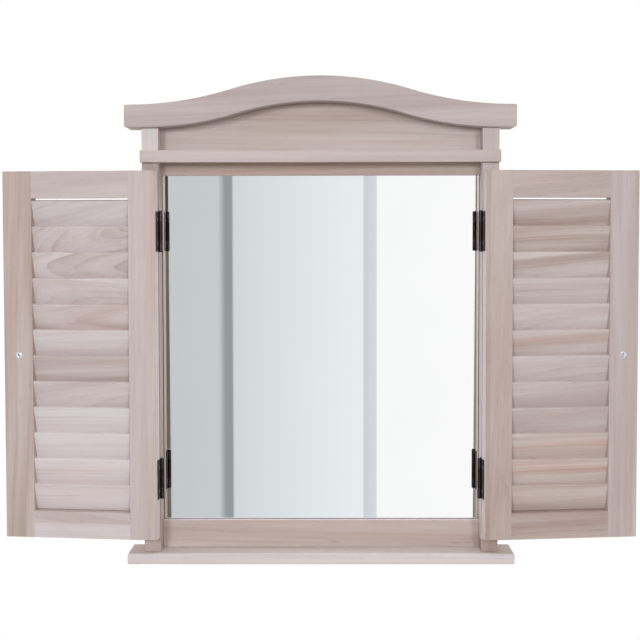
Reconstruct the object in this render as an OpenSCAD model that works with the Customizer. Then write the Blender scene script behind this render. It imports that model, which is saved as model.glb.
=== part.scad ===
// Wall mirror in a window-shaped wooden frame, with two louvred shutters on butt hinges.
// +X runs to the right along the wall, +Y into the wall, +Z up. The back lies in the plane y = 0.
// The origin is midway between the two hanger holes. The shutters are drawn swung open.

/* [Overall] */
// Width of the crown and of the sill
overall_w = 420; // [360:1:520]
// Height from the sill's underside to the crown's highest point
overall_h = 527.3; // [450:0.1:640]
// Depth of the crown and of the sill
overall_d = 50; // [48:1:70]

/* [Frame] */
// Width of a post, seen from the front
post_w = 18; // [16:0.5:30]
// Depth of a post, from the wall
post_d = 40; // [36:0.5:42]
// How far the crown and the sill reach past a post at each side
end_overhang = 17.5; // [8:0.5:30]
// Thickness of the sill
sill_h = 12.3; // [8:0.1:20]
// Thickness of the two rails across the frame
rail_t = 15; // [12:0.5:18]
// Height of the lower rail above the sill
lower_rail_h = 30; // [22:0.5:45]
// Height of the upper rail
upper_rail_h = 25; // [22:0.5:26]
// How much of the upper rail shows under the cornice
upper_rail_reveal = 13; // [10:0.5:18]
// Radius of the eased edges of the sill and of the crown's ends
ease_r = 2.5; // [1:0.25:4]

/* [Crown and cornice] */
// Height of the crown at its ends
crown_end_h = 24.2; // [18:0.1:40]
// Rise of the crown's upper edge, from its ends to its middle
crown_rise = 30.5; // [20:0.5:45]
// Rise of the crown's lower edge
crown_low_rise = 28; // [18:0.1:44]
// Length of the level part at each end of the crown's upper edge
crown_shoulder = 5; // [3:0.5:40]
// Length of the level part at each end of the crown's lower edge
crown_low_shoulder = 20; // [4:0.5:60]
// Share of each curve's two radii that its crest takes
crest_share = 0.47; // [0.35:0.01:0.6]
// Length of post that shows between the cornice and the crown
stub_h = 24.3; // [14:0.1:40]
// Height of the cornice
cornice_h = 13; // [8:0.5:24]
// How far the cornice reaches past the posts at each side
cornice_overhang = 1; // [0:0.5:12]
// Thickness of the panel under the crown
panel_t = 9; // [6:0.5:12]

/* [Mirror] */
// Thickness of the mirror glass
glass_t = 3; // [2:0.5:4]
// Thickness of the backing board
backing_t = 3; // [2:0.5:3.5]
// Width of the rebate that the glass lies in
rebate_w = 6; // [5:0.5:9]
// Gap round the edge of the glass
glass_gap = 1; // [0.5:0.25:2]
// Thickness of a glazing point
point_t = 0.8; // [0.5:0.1:1]
// Length of a glazing point
point_l = 11; // [10:0.5:13]
// Width of a glazing point
point_w = 6; // [4:0.5:8]
// How deep a glazing point is pressed into the rebate's wall
point_grip = 4; // [3:0.5:5]

/* [Shutters] */
// Thickness of a shutter
shutter_t = 16; // [14:0.5:20]
// Gap between the two closed shutters
meeting_gap = 3; // [1:0.5:6]
// Gap between a shutter and the cornice
shutter_top_gap = 9; // [3:0.5:16]
// Gap between a shutter and the sill
shutter_low_gap = 16; // [3:0.5:24]
// Width of the stile that carries the hinges
hinge_stile_w = 29; // [22:0.5:40]
// Width of the stile that carries the knob
meeting_stile_w = 32; // [24:0.5:42]
// Height of a shutter's top rail
top_rail_h = 29.2; // [22:0.1:45]
// Height of a shutter's bottom rail
bottom_rail_h = 29.2; // [22:0.1:50]
// Length of the tongue at each end of a shutter's rail
tongue_l = 10; // [6:0.5:14]
// Thickness of that tongue
tongue_t = 5.4; // [4:0.2:7]
// Angle between an open shutter and the wall
open_past_flat = 8; // [0:0.5:8]

/* [Slats] */
// Thickness of a slat
slat_t = 4.5; // [3.5:0.25:6]
// How far one slat laps over the next
slat_lap = 2; // [1:0.25:4]
// Distance from a slat's edges to the shutter's two faces
slat_margin = 0.75; // [0.25:0.25:2]
// Gap between the first slat and the top rail
slat_top_gap = 1.6; // [0.5:0.1:3]
// Gap between the last slat and the bottom rail
slat_low_gap = 0.4; // [0.3:0.1:2]
// Depth of the slot that holds a slat's end
slot_d = 5; // [3:0.5:7]
// Clearance round a slat's end in its slot
slot_gap = 0.1; // [0.05:0.05:0.3]

/* [Hinges] */
// Length of a hinge
hinge_l = 43; // [34:1:60]
// Width of a hinge leaf, from the pin's axis
leaf_w = 13; // [11:0.5:15]
// Thickness of a hinge leaf
leaf_t = 1; // [0.8:0.1:1.4]
// Diameter of a hinge pin
pin_d = 2.6; // [2:0.1:3]
// Distance from a shutter's end to the middle of the nearest hinge
hinge_inset = 65; // [40:1:90]
// Distance from a post's front to the pin's axis
pin_stand_off = 2.5; // [2.4:0.1:3.5]
// Distance between the two screws of a leaf
leaf_screw_gap = 26; // [16:1:40]

/* [Knobs] */
// Diameter of a knob
knob_d = 22; // [16:0.5:26]
// Height of a knob
knob_h = 20; // [14:0.5:20]
// Diameter of a knob's screw head
knob_head_d = 7.2; // [6:0.1:9]

/* [Hangers] */
// Distance from a post's inner side to the hanger hole beside it
hanger_reach = 14.5; // [11:0.5:20]
// Distance from the crown's underside down to the hanger holes
hanger_drop = 13.3; // [9:0.1:20]
// Diameter of a hanger hole
hanger_hole_d = 6; // [4:0.5:7]
// Height of a hanger plate
hanger_h = 14; // [12:0.5:18]
// Thickness of a hanger plate
hanger_t = 1.5; // [1:0.25:2]

/* [Hidden] */
$fn = 64;
slats = 12;                         // slats in a shutter
fit = 0.02;                         // clearance of a screw, pin or dowel in its hole
running = 0.05;                     // clearance of a turning knuckle on its pin
end_play = 0.2;                     // clearance along the pin between two knuckles
joint_gap = 0.15;                   // clearance of a tongue in its mortise
cut = 2;                            // how far a cutting shape reaches past a face
edge_steps = 14;                    // straight steps in each arc of the crown's edges
point_room = 1;                     // depth behind the backing board for the glazing points
point_side_shares = [0.18, 0.5, 0.82];  // places of the points along the glass's height
point_end_shares = [-0.3, 0.3];     // places of the points along its width, from the middle
tongue_shoulder = 0.2;              // share of a rail's height above and below its tongue
post_screw_shares = [0.4, 0.8];     // places of the screws along a post's depth
post_grip = 20;                     // how far a crown screw reaches into a post
knob_grip = 13;                     // how far a knob's screw reaches into the knob
screw_wood = 4;                     // wood left between a sill screw and the rebate
dowel_inset = 5.5;                  // distance from a rail's edge or rebate to a dowel's axis
pin_wood = 3;                       // wood left between a cornice pin and the cornice's front
hanger_wood = 3;                    // wood left between a hanger plate and a post's outer side
hanger_screw_inset = 7;             // distance from a hanger plate's outer end to its screws
hanger_screw_edge = 3.4;            // distance from its upper and lower edges to them
pin_head_h = 0.7;                   // height of a hinge pin's two heads

// A screw head's cross: its width and length as shares of the head's radius, and its depth
// as a share of the head's height
cross_w = 0.28;
cross_l = 1.15;
cross_deep = 0.6;

// A knob's outline, as [share of its radius, share of its height]
knob_outline = [
    [0, 0], [0.75, 0], [0.6, 0.2], [0.6, 0.4], [1, 0.65], [1, 0.8], [0.8, 0.95], [0.4, 1], [0, 1]
];

frame_w = overall_w - 2 * end_overhang;
opening_w = frame_w - 2 * post_w;
crown_z = overall_h - crown_rise - crown_end_h;
crown_run = overall_w / 2 - crown_shoulder;
crown_low_run = overall_w / 2 - crown_low_shoulder;
cornice_z = crown_z - stub_h - cornice_h;
cornice_d = overall_d - post_d;
lower_edge_z = sill_h + lower_rail_h;
upper_edge_z = cornice_z - upper_rail_reveal;
panel_z = upper_edge_z + upper_rail_h;

rebate_d = glass_t + backing_t + point_room;
glass_w = opening_w + 2 * (rebate_w - glass_gap);
glass_z = lower_edge_z - rebate_w + glass_gap;
glass_h = upper_edge_z + rebate_w - glass_gap - glass_z;
point_y = -rebate_d + glass_t + backing_t;

knuckle_r = pin_d / 2 + leaf_t;
shutter_w = opening_w / 2 - 2 * knuckle_r - meeting_gap / 2;
shutter_z = sill_h + shutter_low_gap;
shutter_h = cornice_z - shutter_top_gap - shutter_z;
louvre_w = shutter_w - hinge_stile_w - meeting_stile_w;
louvre_z = bottom_rail_h;
louvre_h = shutter_h - top_rail_h - bottom_rail_h;
pin_x = opening_w / 2 - knuckle_r;
pin_y = -post_d - pin_stand_off;
open_angle = 180 + open_past_flat;
hinge_zs = [shutter_z + hinge_inset, shutter_z + shutter_h - hinge_inset];
leaf_screw_y = (leaf_w + knuckle_r + 2 * end_play) / 2;
post_middle_x = opening_w / 2 + post_w / 2;
rail_dowel_zs = [
    sill_h + dowel_inset,
    lower_edge_z - rebate_w - dowel_inset,
    upper_edge_z + rebate_w + dowel_inset,
    panel_z - dowel_inset
];

// A slat's rise and depth, and the tilt and width that give them
slat_pitch = (louvre_h - slat_top_gap - slat_low_gap - slat_lap) / slats;
slat_rise = slat_pitch + slat_lap;
slat_depth = shutter_t - 2 * slat_margin;
slat_diagonal = sqrt(slat_rise * slat_rise + slat_depth * slat_depth);
function tilt_for(a, rounds) =
    rounds == 0 ? a
    : tilt_for(acos(slat_t * cos(2 * a) / slat_diagonal) - atan2(slat_rise, slat_depth), rounds - 1);
tilt_guess = 20;
tilt_rounds = 12;
slat_tilt = tilt_for(tilt_guess, tilt_rounds);
slat_w = (slat_rise - slat_t * sin(slat_tilt)) / cos(slat_tilt);

hanger_z = crown_z - hanger_drop;
hanger_x = opening_w / 2 - hanger_reach;
hanger_inner_x = hanger_x - hanger_h / 2;
hanger_outer_x = frame_w / 2 - hanger_wood;
hanger_l = hanger_outer_x - hanger_inner_x;

// Screw sizes: [shank diameter, length with the head, head diameter, head height]
crown_screw_size = [3.5, crown_end_h + post_grip, 7, 2.6];
sill_screw_size = [3.5, sill_h + lower_rail_h - rebate_w - screw_wood, 7, 2.6];
leaf_screw_size = [2.4, 12, 4.8, 1.2];
plate_screw_size = [2.6, 10, 5.2, 1.4];
knob_screw_size = [4, shutter_t + knob_grip, knob_head_d, 2.2];

// Dowel and pin sizes: [diameter, length]
rail_dowel_size = [5, 22];
cornice_pin_size = [3, 2 * (cornice_d - pin_wood)];

WOOD = [0.80, 0.71, 0.65];
WOOD_PALE = [0.84, 0.78, 0.74];
WOOD_WARM = [0.77, 0.67, 0.59];
IRON = [0.16, 0.14, 0.14];
STEEL = [0.66, 0.66, 0.68];
GLASS = [0.86, 0.90, 0.91];
BOARD = [0.55, 0.42, 0.30];
SLAT_SHADE = 0.06;
SHADE_TURN = 137;

function slat_node(side, i) = str(side, "_slat_", i < 10 ? "0" : "", i);
SLAT_NODES = [for (side = ["left", "right"]) for (i = [1 : slats]) slat_node(side, i)];
FRAME_NODES = [
    "left_post", "right_post", "crown", "pediment_panel", "cornice", "cornice_pins",
    "upper_rail", "lower_rail", "rail_dowels", "sill", "mirror_glass", "backing_board",
    "glazing_points", "frame_screws", "hanger_plates", "hanger_screws",
    "left_frame_leaves", "right_frame_leaves", "hinge_pins", "frame_leaf_screws"
];
SHUTTER_NODES = [
    "left_hinge_stile", "left_meeting_stile", "left_top_rail", "left_bottom_rail",
    "left_knob", "left_knob_screw", "left_shutter_leaves", "left_leaf_screws",
    "right_hinge_stile", "right_meeting_stile", "right_top_rail", "right_bottom_rail",
    "right_knob", "right_knob_screw", "right_shutter_leaves", "right_leaf_screws"
];

// ---- places ----

// Moves the frame's own heights, counted from the sill's underside, to the hanger line
module hung() {
    translate([0, 0, -hanger_z]) children();
}

// Draws its children at x > 0, or their mirror image at x < 0
module on_side(side) {
    if (side == "left") mirror([1, 0, 0]) children();
    else children();
}

// Swings a closed shutter, drawn with its hinge edge at x = 0 and its outer face at y = 0, open
module swung_open(side) {
    hung()
        on_side(side)
            translate([pin_x, pin_y, shutter_z])
                rotate([0, 0, open_angle])
                    translate([-knuckle_r, pin_stand_off, 0])
                        children();
}

// Puts children at each end of the frame's width
module both_sides() {
    for (side = ["left", "right"]) on_side(side) children();
}

// ---- shapes ----

// A rectangle from the origin with its four corners rounded
module soft_rect(w, h, r) {
    translate([r, 0]) square([w - 2 * r, h]);
    translate([0, r]) square([w, h - 2 * r]);
    for (x = [r, w - r]) for (y = [r, h - r]) translate([x, y]) circle(r);
}

// A flat-headed screw that points along -Z with its head's top at z = 0
module screw(size) {
    shank_r = size[0] / 2;
    head_r = size[2] / 2;
    slot_w = head_r * cross_w;
    slot_l = head_r * cross_l;
    difference() {
        union() {
            translate([0, 0, -size[3]]) cylinder(h = size[3], r1 = shank_r, r2 = head_r);
            translate([0, 0, -size[1]]) cylinder(h = size[1] - size[3], r = shank_r);
        }
        for (a = [0, 90])
            rotate([0, 0, a])
                translate([-slot_l / 2, -slot_w / 2, -size[3] * cross_deep])
                    cube([slot_l, slot_w, size[3]]);
    }
}

// The hole that such a screw fits
module screw_hole(size) {
    shank_r = size[0] / 2 + fit;
    head_r = size[2] / 2 + fit;
    translate([0, 0, -size[3]]) cylinder(h = size[3], r1 = shank_r, r2 = head_r);
    translate([0, 0, -size[1] - fit]) cylinder(h = size[1], r = shank_r);
    cylinder(h = cut, r = head_r);
}

// A pin that is centred on the origin and lies along Z
module peg(size) {
    cylinder(h = size[1], d = size[0], center = true);
}

// The hole that such a pin fits
module peg_hole(size) {
    cylinder(h = size[1] + 2 * joint_gap, d = size[0] + 2 * fit, center = true);
}

// ---- frame ----

// The right half of one edge of the crown, from its middle outwards. The crest is an arc and the
// flank a hollow arc; they meet where both have the same slope, and the flank ends level.
function half_edge(run, rise, end_z) =
    let (
        slope = 2 * atan(rise / run),
        crest_r = crest_share * run / sin(slope),
        flank_r = run / sin(slope) - crest_r
    )
    concat(
        [for (i = [0 : edge_steps])
            let (a = slope * i / edge_steps)
            [crest_r * sin(a), end_z + rise - crest_r * (1 - cos(a))]],
        [for (i = [edge_steps - 1 : -1 : 0])
            let (a = slope * i / edge_steps)
            [run - flank_r * sin(a), end_z + flank_r * (1 - cos(a))]]
    );

// Everything below such an edge, down to z = floor_z
module under_edge(run, rise, end_z, floor_z) {
    end_x = overall_w / 2 + cut;
    half = half_edge(run, rise, end_z);
    polygon(concat(
        [[-end_x, floor_z], [-end_x, end_z]],
        [for (i = [len(half) - 1 : -1 : 1]) [-half[i][0], half[i][1]]],
        half,
        [[end_x, end_z], [end_x, floor_z]]
    ));
}

// Stands a drawing in x and z up, with its front at y = -depth
module upright(depth, thickness) {
    translate([0, -depth + thickness, 0]) rotate([90, 0, 0]) linear_extrude(thickness) children();
}

module crown() {
    end_z = crown_z + crown_end_h;
    color(WOOD_PALE)
        hung()
            difference() {
                upright(overall_d, overall_d)
                    intersection() {
                        difference() {
                            under_edge(crown_run, crown_rise, end_z, crown_z - cut);
                            under_edge(crown_low_run, crown_low_rise, crown_z, crown_z - 2 * cut);
                        }
                        union() {
                            translate([-overall_w / 2 + ease_r, crown_z - cut])
                                square([overall_w - 2 * ease_r, crown_end_h + crown_rise + 2 * cut]);
                            translate([-overall_w / 2, crown_z])
                                soft_rect(overall_w, crown_end_h, ease_r);
                        }
                    }
                crown_screw_places() screw_hole(crown_screw_size);
            }
}

// Two screws go down through each end of the crown into the post below
module crown_screw_places() {
    both_sides()
        for (share = post_screw_shares)
            translate([post_middle_x, -post_d * share, crown_z + crown_end_h]) children();
}

// Two go up through the sill into each post, and one into the lower rail
module sill_screw_places() {
    both_sides()
        for (share = post_screw_shares)
            translate([post_middle_x, -post_d * share, 0]) rotate([180, 0, 0]) children();
    translate([0, -rail_t / 2, 0]) rotate([180, 0, 0]) children();
}

module frame_screws() {
    color(STEEL)
        hung() {
            crown_screw_places() screw(crown_screw_size);
            sill_screw_places() screw(sill_screw_size);
        }
}

module sill() {
    color(WOOD_PALE)
        hung()
            difference() {
                intersection() {
                    translate([-overall_w / 2, 0, 0])
                        upright(overall_d, overall_d)
                            soft_rect(overall_w, sill_h, ease_r);
                    translate([-overall_w / 2 - cut, 0, 0])
                        rotate([90, 0, 90])
                            linear_extrude(overall_w + 2 * cut)
                                translate([-overall_d, 0])
                                    soft_rect(overall_d + 2 * ease_r, sill_h, ease_r);
                }
                sill_screw_places() screw_hole(sill_screw_size);
            }
}

// Dowels join each rail's ends to the posts
module rail_dowel_places() {
    for (z = rail_dowel_zs)
        translate([opening_w / 2, -rail_t / 2, z]) rotate([0, 90, 0]) children();
}

module rail_dowels() {
    color(WOOD_WARM) hung() both_sides() rail_dowel_places() peg(rail_dowel_size);
}

// Blind pins join the cornice to the front of each post
module cornice_pin_places() {
    translate([post_middle_x, -post_d, cornice_z + cornice_h / 2]) rotate([90, 0, 0]) children();
}

module cornice_pins() {
    color(WOOD_WARM) hung() both_sides() cornice_pin_places() peg(cornice_pin_size);
}

module cornice() {
    width = frame_w + 2 * cornice_overhang;
    color(WOOD_PALE)
        hung()
            difference() {
                translate([-width / 2, -overall_d, cornice_z]) cube([width, cornice_d, cornice_h]);
                both_sides() cornice_pin_places() peg_hole(cornice_pin_size);
            }
}

// The recess that the glass and its backing lie in, cut from the back
module rebate() {
    translate([-opening_w / 2 - rebate_w, -rebate_d, glass_z - glass_gap])
        cube([opening_w + 2 * rebate_w, rebate_d + cut, glass_h + 2 * glass_gap]);
}

// Flat points are pressed into the rebate's walls and hold the backing board
module glazing_point_shape(extra) {
    half = point_w / 2 + extra;
    translate([0, point_y + point_t + extra, 0])
        rotate([90, 0, 0])
            linear_extrude(point_t + 2 * extra)
                polygon([
                    [-point_l / 2, -half],
                    [point_l / 4, -half],
                    [point_l / 2 + extra, 0],
                    [point_l / 4, half],
                    [-point_l / 2, half]
                ]);
}

module glazing_point_places() {
    wall_x = opening_w / 2 + rebate_w;
    reach = point_l / 2 - point_grip;
    low_z = glass_z - glass_gap;
    high_z = glass_z + glass_h + glass_gap;
    for (share = point_side_shares)
        both_sides() translate([wall_x - reach, 0, glass_z + glass_h * share]) children();
    for (share = point_end_shares) {
        translate([opening_w * share, 0, high_z - reach]) rotate([0, -90, 0]) children();
        translate([opening_w * share, 0, low_z + reach]) rotate([0, 90, 0]) children();
    }
}

module glazing_points() {
    color(STEEL) hung() glazing_point_places() glazing_point_shape(0);
}

// What is cut from the frame's wood to hold the glass
module glass_seat() {
    rebate();
    glazing_point_places() glazing_point_shape(fit);
}

module mirror_glass() {
    color(GLASS)
        hung()
            translate([-glass_w / 2, -rebate_d, glass_z])
                cube([glass_w, glass_t, glass_h]);
}

module backing_board() {
    color(BOARD)
        hung()
            translate([-glass_w / 2, -rebate_d + glass_t, glass_z])
                cube([glass_w, backing_t, glass_h]);
}

// What is cut from both rails
module rail_cuts() {
    glass_seat();
    both_sides() rail_dowel_places() peg_hole(rail_dowel_size);
    sill_screw_places() screw_hole(sill_screw_size);
}

module upper_rail() {
    color(WOOD)
        hung()
            difference() {
                translate([-opening_w / 2, -rail_t, upper_edge_z])
                    cube([opening_w, rail_t, upper_rail_h]);
                rail_cuts();
            }
}

module lower_rail() {
    color(WOOD)
        hung()
            difference() {
                translate([-opening_w / 2, -rail_t, sill_h]) cube([opening_w, rail_t, lower_rail_h]);
                rail_cuts();
            }
}

module pediment_panel() {
    color(WOOD_WARM)
        hung()
            upright(rail_t, panel_t)
                intersection() {
                    under_edge(crown_low_run, crown_low_rise, crown_z - joint_gap, panel_z - cut);
                    translate([-opening_w / 2, panel_z])
                        square([opening_w, crown_z + crown_low_rise + cut - panel_z]);
                }
}

// Plates with a round eye, let into the backs of the posts
module hanger_plate_shape() {
    translate([hanger_inner_x, -hanger_t, hanger_z - hanger_h / 2])
        cube([hanger_l, hanger_t, hanger_h]);
}

module hanger_screw_places() {
    x = hanger_outer_x - hanger_screw_inset;
    for (z = [-1, 1])
        translate([x, 0, hanger_z + z * (hanger_h / 2 - hanger_screw_edge)])
            rotate([-90, 0, 0])
                children();
}

module hanger_plates() {
    color(STEEL)
        hung()
            both_sides()
                difference() {
                    hanger_plate_shape();
                    translate([hanger_x, cut, hanger_z])
                        rotate([90, 0, 0])
                            cylinder(h = hanger_t + 2 * cut, d = hanger_hole_d);
                    hanger_screw_places() screw_hole(plate_screw_size);
                }
}

module hanger_screws() {
    color(STEEL) hung() both_sides() hanger_screw_places() screw(plate_screw_size);
}

module post(side) {
    color(WOOD)
        hung()
            difference() {
                on_side(side)
                    translate([opening_w / 2, -post_d, sill_h])
                        cube([post_w, post_d, crown_z - sill_h]);
                glass_seat();
                both_sides() {
                    rail_dowel_places() peg_hole(rail_dowel_size);
                    cornice_pin_places() peg_hole(cornice_pin_size);
                    hanger_plate_shape();
                    hanger_screw_places() screw_hole(plate_screw_size);
                    frame_leaf_screw_places() screw_hole(leaf_screw_size);
                }
                crown_screw_places() screw_hole(crown_screw_size);
                sill_screw_places() screw_hole(sill_screw_size);
            }
}

// ---- hinges ----

// One leaf, with the pin's axis along Z and its plate behind the axis, against the plane x = knuckle_r.
// The knuckles are given as [start, end] from the hinge's middle.
module hinge_leaf(knuckles, bore_r) {
    plate_y = knuckle_r + 2 * end_play;
    difference() {
        union() {
            translate([knuckle_r - leaf_t, plate_y, -hinge_l / 2])
                cube([leaf_t, leaf_w - plate_y, hinge_l]);
            for (k = knuckles)
                translate([0, 0, k[0]]) {
                    cylinder(h = k[1] - k[0], r = knuckle_r);
                    translate([knuckle_r - leaf_t, end_play, 0])
                        cube([leaf_t, plate_y + end_play, k[1] - k[0]]);
                }
        }
        translate([0, 0, -hinge_l / 2 - cut]) cylinder(h = hinge_l + 2 * cut, r = bore_r);
        leaf_screw_spots() screw_hole(leaf_screw_size);
    }
}

// Where a leaf's screws go, with their heads on its open side
module leaf_screw_spots() {
    for (z = [-1, 1])
        translate([knuckle_r - leaf_t, leaf_screw_y, z * leaf_screw_gap / 2])
            rotate([0, -90, 0])
                children();
}

module at_frame_hinges() {
    for (z = hinge_zs) translate([pin_x, pin_y, z]) children();
}

// A frame leaf carries the two end knuckles, and a shutter leaf the middle one
module frame_leaves(side) {
    inner = hinge_l / 4 + end_play;
    outer = hinge_l / 2;
    color(IRON)
        hung()
            on_side(side)
                at_frame_hinges()
                    hinge_leaf([[-outer, -inner], [inner, outer]], pin_d / 2 + fit);
}

module frame_leaf_screw_places() {
    at_frame_hinges() leaf_screw_spots() children();
}

module frame_leaf_screws() {
    color(IRON) hung() both_sides() frame_leaf_screw_places() screw(leaf_screw_size);
}

module hinge_pins() {
    color(IRON)
        hung()
            both_sides()
                at_frame_hinges() {
                    cylinder(h = hinge_l, d = pin_d, center = true);
                    for (z = [-1, 1])
                        translate([0, 0, z * (hinge_l + pin_head_h) / 2])
                            cylinder(h = pin_head_h, r = knuckle_r - leaf_t / 2, center = true);
                }
}

// The same places on a closed shutter, whose hinge edge lies at x = 0
module at_shutter_hinges() {
    for (z = hinge_zs)
        translate([knuckle_r, -pin_stand_off, z - shutter_z]) mirror([1, 0, 0]) children();
}

module shutter_leaves(side) {
    color(IRON)
        swung_open(side)
            at_shutter_hinges()
                hinge_leaf([[-hinge_l / 4, hinge_l / 4]], pin_d / 2 + running);
}

module shutter_leaf_screws(side) {
    color(IRON) swung_open(side) at_shutter_hinges() leaf_screw_spots() screw(leaf_screw_size);
}

// ---- shutters ----
// A closed shutter reaches from its hinge edge at x = 0 towards -X; its outer face is at y = 0.

module slat_profile(extra) {
    rotate([0, 0, slat_tilt])
        translate([-slat_t / 2 - extra, -slat_w / 2 - extra])
            square([slat_t + 2 * extra, slat_w + 2 * extra]);
}

// Slat number i, counted from the top, from x = -from_x to x = -to_x
module slat_at(i, from_x, to_x, extra) {
    middle_z = louvre_z + louvre_h - slat_top_gap - slat_rise / 2 - (i - 1) * slat_pitch;
    translate([-from_x, shutter_t / 2, middle_z])
        rotate([90, 0, -90])
            linear_extrude(to_x - from_x) slat_profile(extra);
}

module slat(side, i) {
    shade = SLAT_SHADE * sin(i * SHADE_TURN);
    color([WOOD_WARM[0] + shade, WOOD_WARM[1] + shade, WOOD_WARM[2] + shade])
        swung_open(side)
            slat_at(
                i,
                hinge_stile_w - slot_d + 2 * slot_gap,
                shutter_w - meeting_stile_w + slot_d - 2 * slot_gap,
                0
            );
}

module slat_slots() {
    for (i = [1 : slats])
        slat_at(i, hinge_stile_w - slot_d, shutter_w - meeting_stile_w + slot_d, slot_gap);
}

// The tongue that runs through a shutter's rail and out at both its ends
module rail_tongue(z, h, extra) {
    shoulder = h * tongue_shoulder;
    translate([
        -hinge_stile_w - louvre_w - tongue_l - extra,
        (shutter_t - tongue_t) / 2 - extra,
        z + shoulder - extra
    ])
        cube([louvre_w + 2 * (tongue_l + extra), tongue_t + 2 * extra, h - 2 * (shoulder - extra)]);
}

module shutter_rail(side, z, h) {
    color(WOOD)
        swung_open(side) {
            translate([-hinge_stile_w - louvre_w, 0, z]) cube([louvre_w, shutter_t, h]);
            rail_tongue(z, h, 0);
        }
}

module stile_shape(from_x, width) {
    difference() {
        translate([-from_x - width, 0, 0]) cube([width, shutter_t, shutter_h]);
        rail_tongue(0, bottom_rail_h, joint_gap);
        rail_tongue(shutter_h - top_rail_h, top_rail_h, joint_gap);
        slat_slots();
        at_shutter_hinges() leaf_screw_spots() screw_hole(leaf_screw_size);
        knob_screw_place() screw_hole(knob_screw_size);
    }
}

module hinge_stile(side) {
    color(WOOD) swung_open(side) stile_shape(0, hinge_stile_w);
}

module meeting_stile(side) {
    color(WOOD) swung_open(side) stile_shape(shutter_w - meeting_stile_w, meeting_stile_w);
}

// The knob's screw comes through the middle of the meeting stile from the inner face
module knob_screw_place() {
    translate([-shutter_w + meeting_stile_w / 2, shutter_t, shutter_h / 2])
        rotate([-90, 0, 0])
            children();
}

// A turned knob with a narrow waist, on the outer face
module knob(side) {
    color(WOOD_PALE)
        swung_open(side)
            translate([-shutter_w + meeting_stile_w / 2, 0, shutter_h / 2])
                rotate([90, 0, 0])
                    difference() {
                        rotate_extrude()
                            polygon([for (p = knob_outline) [p[0] * knob_d / 2, p[1] * knob_h]]);
                        translate([0, 0, -shutter_t]) rotate([180, 0, 0]) screw_hole(knob_screw_size);
                    }
}

module knob_screw(side) {
    color(STEEL) swung_open(side) knob_screw_place() screw(knob_screw_size);
}

// ---- assembly ----

post("left");  // left_post
post("right");  // right_post
crown();
pediment_panel();
cornice();
cornice_pins();
upper_rail();
lower_rail();
rail_dowels();
sill();
mirror_glass();
backing_board();
glazing_points();
frame_screws();
hanger_plates();
hanger_screws();
frame_leaves("left");  // left_frame_leaves
frame_leaves("right");  // right_frame_leaves
hinge_pins();
frame_leaf_screws();
for (side = ["left", "right"]) {
    hinge_stile(side);
    meeting_stile(side);
    shutter_rail(side, shutter_h - top_rail_h, top_rail_h);
    shutter_rail(side, 0, bottom_rail_h);
    knob(side);
    knob_screw(side);
    shutter_leaves(side);
    shutter_leaf_screws(side);
    for (i = [1 : slats])
        slat(side, i);
}
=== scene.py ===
# %% [markdown]
# # A wall mirror with louvred shutters
# The part is a small wall mirror made like a window: a bare wooden frame with a curved crown, a
# sill, and two louvred shutters on dark butt hinges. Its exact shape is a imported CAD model, which
# this file loads first and never changes. Everything after that is finish: eased edges, grain,
# metal, glass and light. Each step has a few words first, and then its code. Heights are counted
# from SILL_Z, a level 11 mm under the sill's upper face, because the model's origin is far above.

import math

import bmesh
import bpy
import numpy as np
from mathutils import Matrix, Vector


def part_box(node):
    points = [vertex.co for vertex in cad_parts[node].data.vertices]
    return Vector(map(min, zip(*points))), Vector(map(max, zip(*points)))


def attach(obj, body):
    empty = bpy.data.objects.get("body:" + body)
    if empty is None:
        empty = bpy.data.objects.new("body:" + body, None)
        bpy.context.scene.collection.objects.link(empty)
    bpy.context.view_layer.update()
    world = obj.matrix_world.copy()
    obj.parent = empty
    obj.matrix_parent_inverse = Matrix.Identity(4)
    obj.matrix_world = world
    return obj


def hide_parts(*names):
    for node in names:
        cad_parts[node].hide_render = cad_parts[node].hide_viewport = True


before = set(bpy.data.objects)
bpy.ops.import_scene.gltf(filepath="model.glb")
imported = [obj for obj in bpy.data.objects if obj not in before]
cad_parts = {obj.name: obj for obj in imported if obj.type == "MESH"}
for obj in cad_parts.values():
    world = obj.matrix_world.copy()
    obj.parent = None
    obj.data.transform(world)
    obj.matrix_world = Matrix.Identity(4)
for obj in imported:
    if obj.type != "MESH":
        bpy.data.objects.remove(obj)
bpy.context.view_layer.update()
SCENE = bpy.context.scene
MM = 0.001
SILL_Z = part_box("sill")[1].z - 11 * MM

# %% [markdown]
# ## The camera
# The photograph was taken from straight in front, from 1.7 m away and a little above the middle,
# with a long lens. A camera can be aimed by eye, but here its place and its three turns were
# worked out from the corners of the frame, so they are written as numbers. The turns are applied
# from right to left: roll first, then the tilt down, then the turn to the side.

# %% Place the camera
def in_scene(name, data):
    made = bpy.data.objects.new(name, data)
    SCENE.collection.objects.link(made)
    return made


FOCAL_PIXELS = 1573.7
PICTURE_PIXELS = 640
CAMERA_PLACE = (0.0136, -1.7401, SILL_Z + 0.3621)
TURN, TILT, ROLL = 0.480, 3.299, -0.084

lens = bpy.data.cameras.new("camera")
lens.sensor_width = 36
lens.lens = FOCAL_PIXELS / PICTURE_PIXELS * lens.sensor_width
camera = in_scene("camera", lens)
camera.matrix_world = (
    Matrix.Translation(CAMERA_PLACE)
    @ Matrix.Rotation(math.radians(TURN), 4, "Z")
    @ Matrix.Rotation(math.radians(90 - TILT), 4, "X")
    @ Matrix.Rotation(math.radians(ROLL), 4, "Z")
)
SCENE.camera = camera
print("lens", round(lens.lens, 1), "mm")

# %% [markdown]
# ## Building nodes in code
# Materials, the world and Geometry Nodes are all trees of nodes. Writing them out link by link
# gets long, so `put` adds a node, gives it its settings, and fills its inputs either with plain
# values or with links, several of them where an input takes a list. `first` gives its first output.
# A socket knows its own tree, so the sums below need only their values, and read like a formula.

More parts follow.
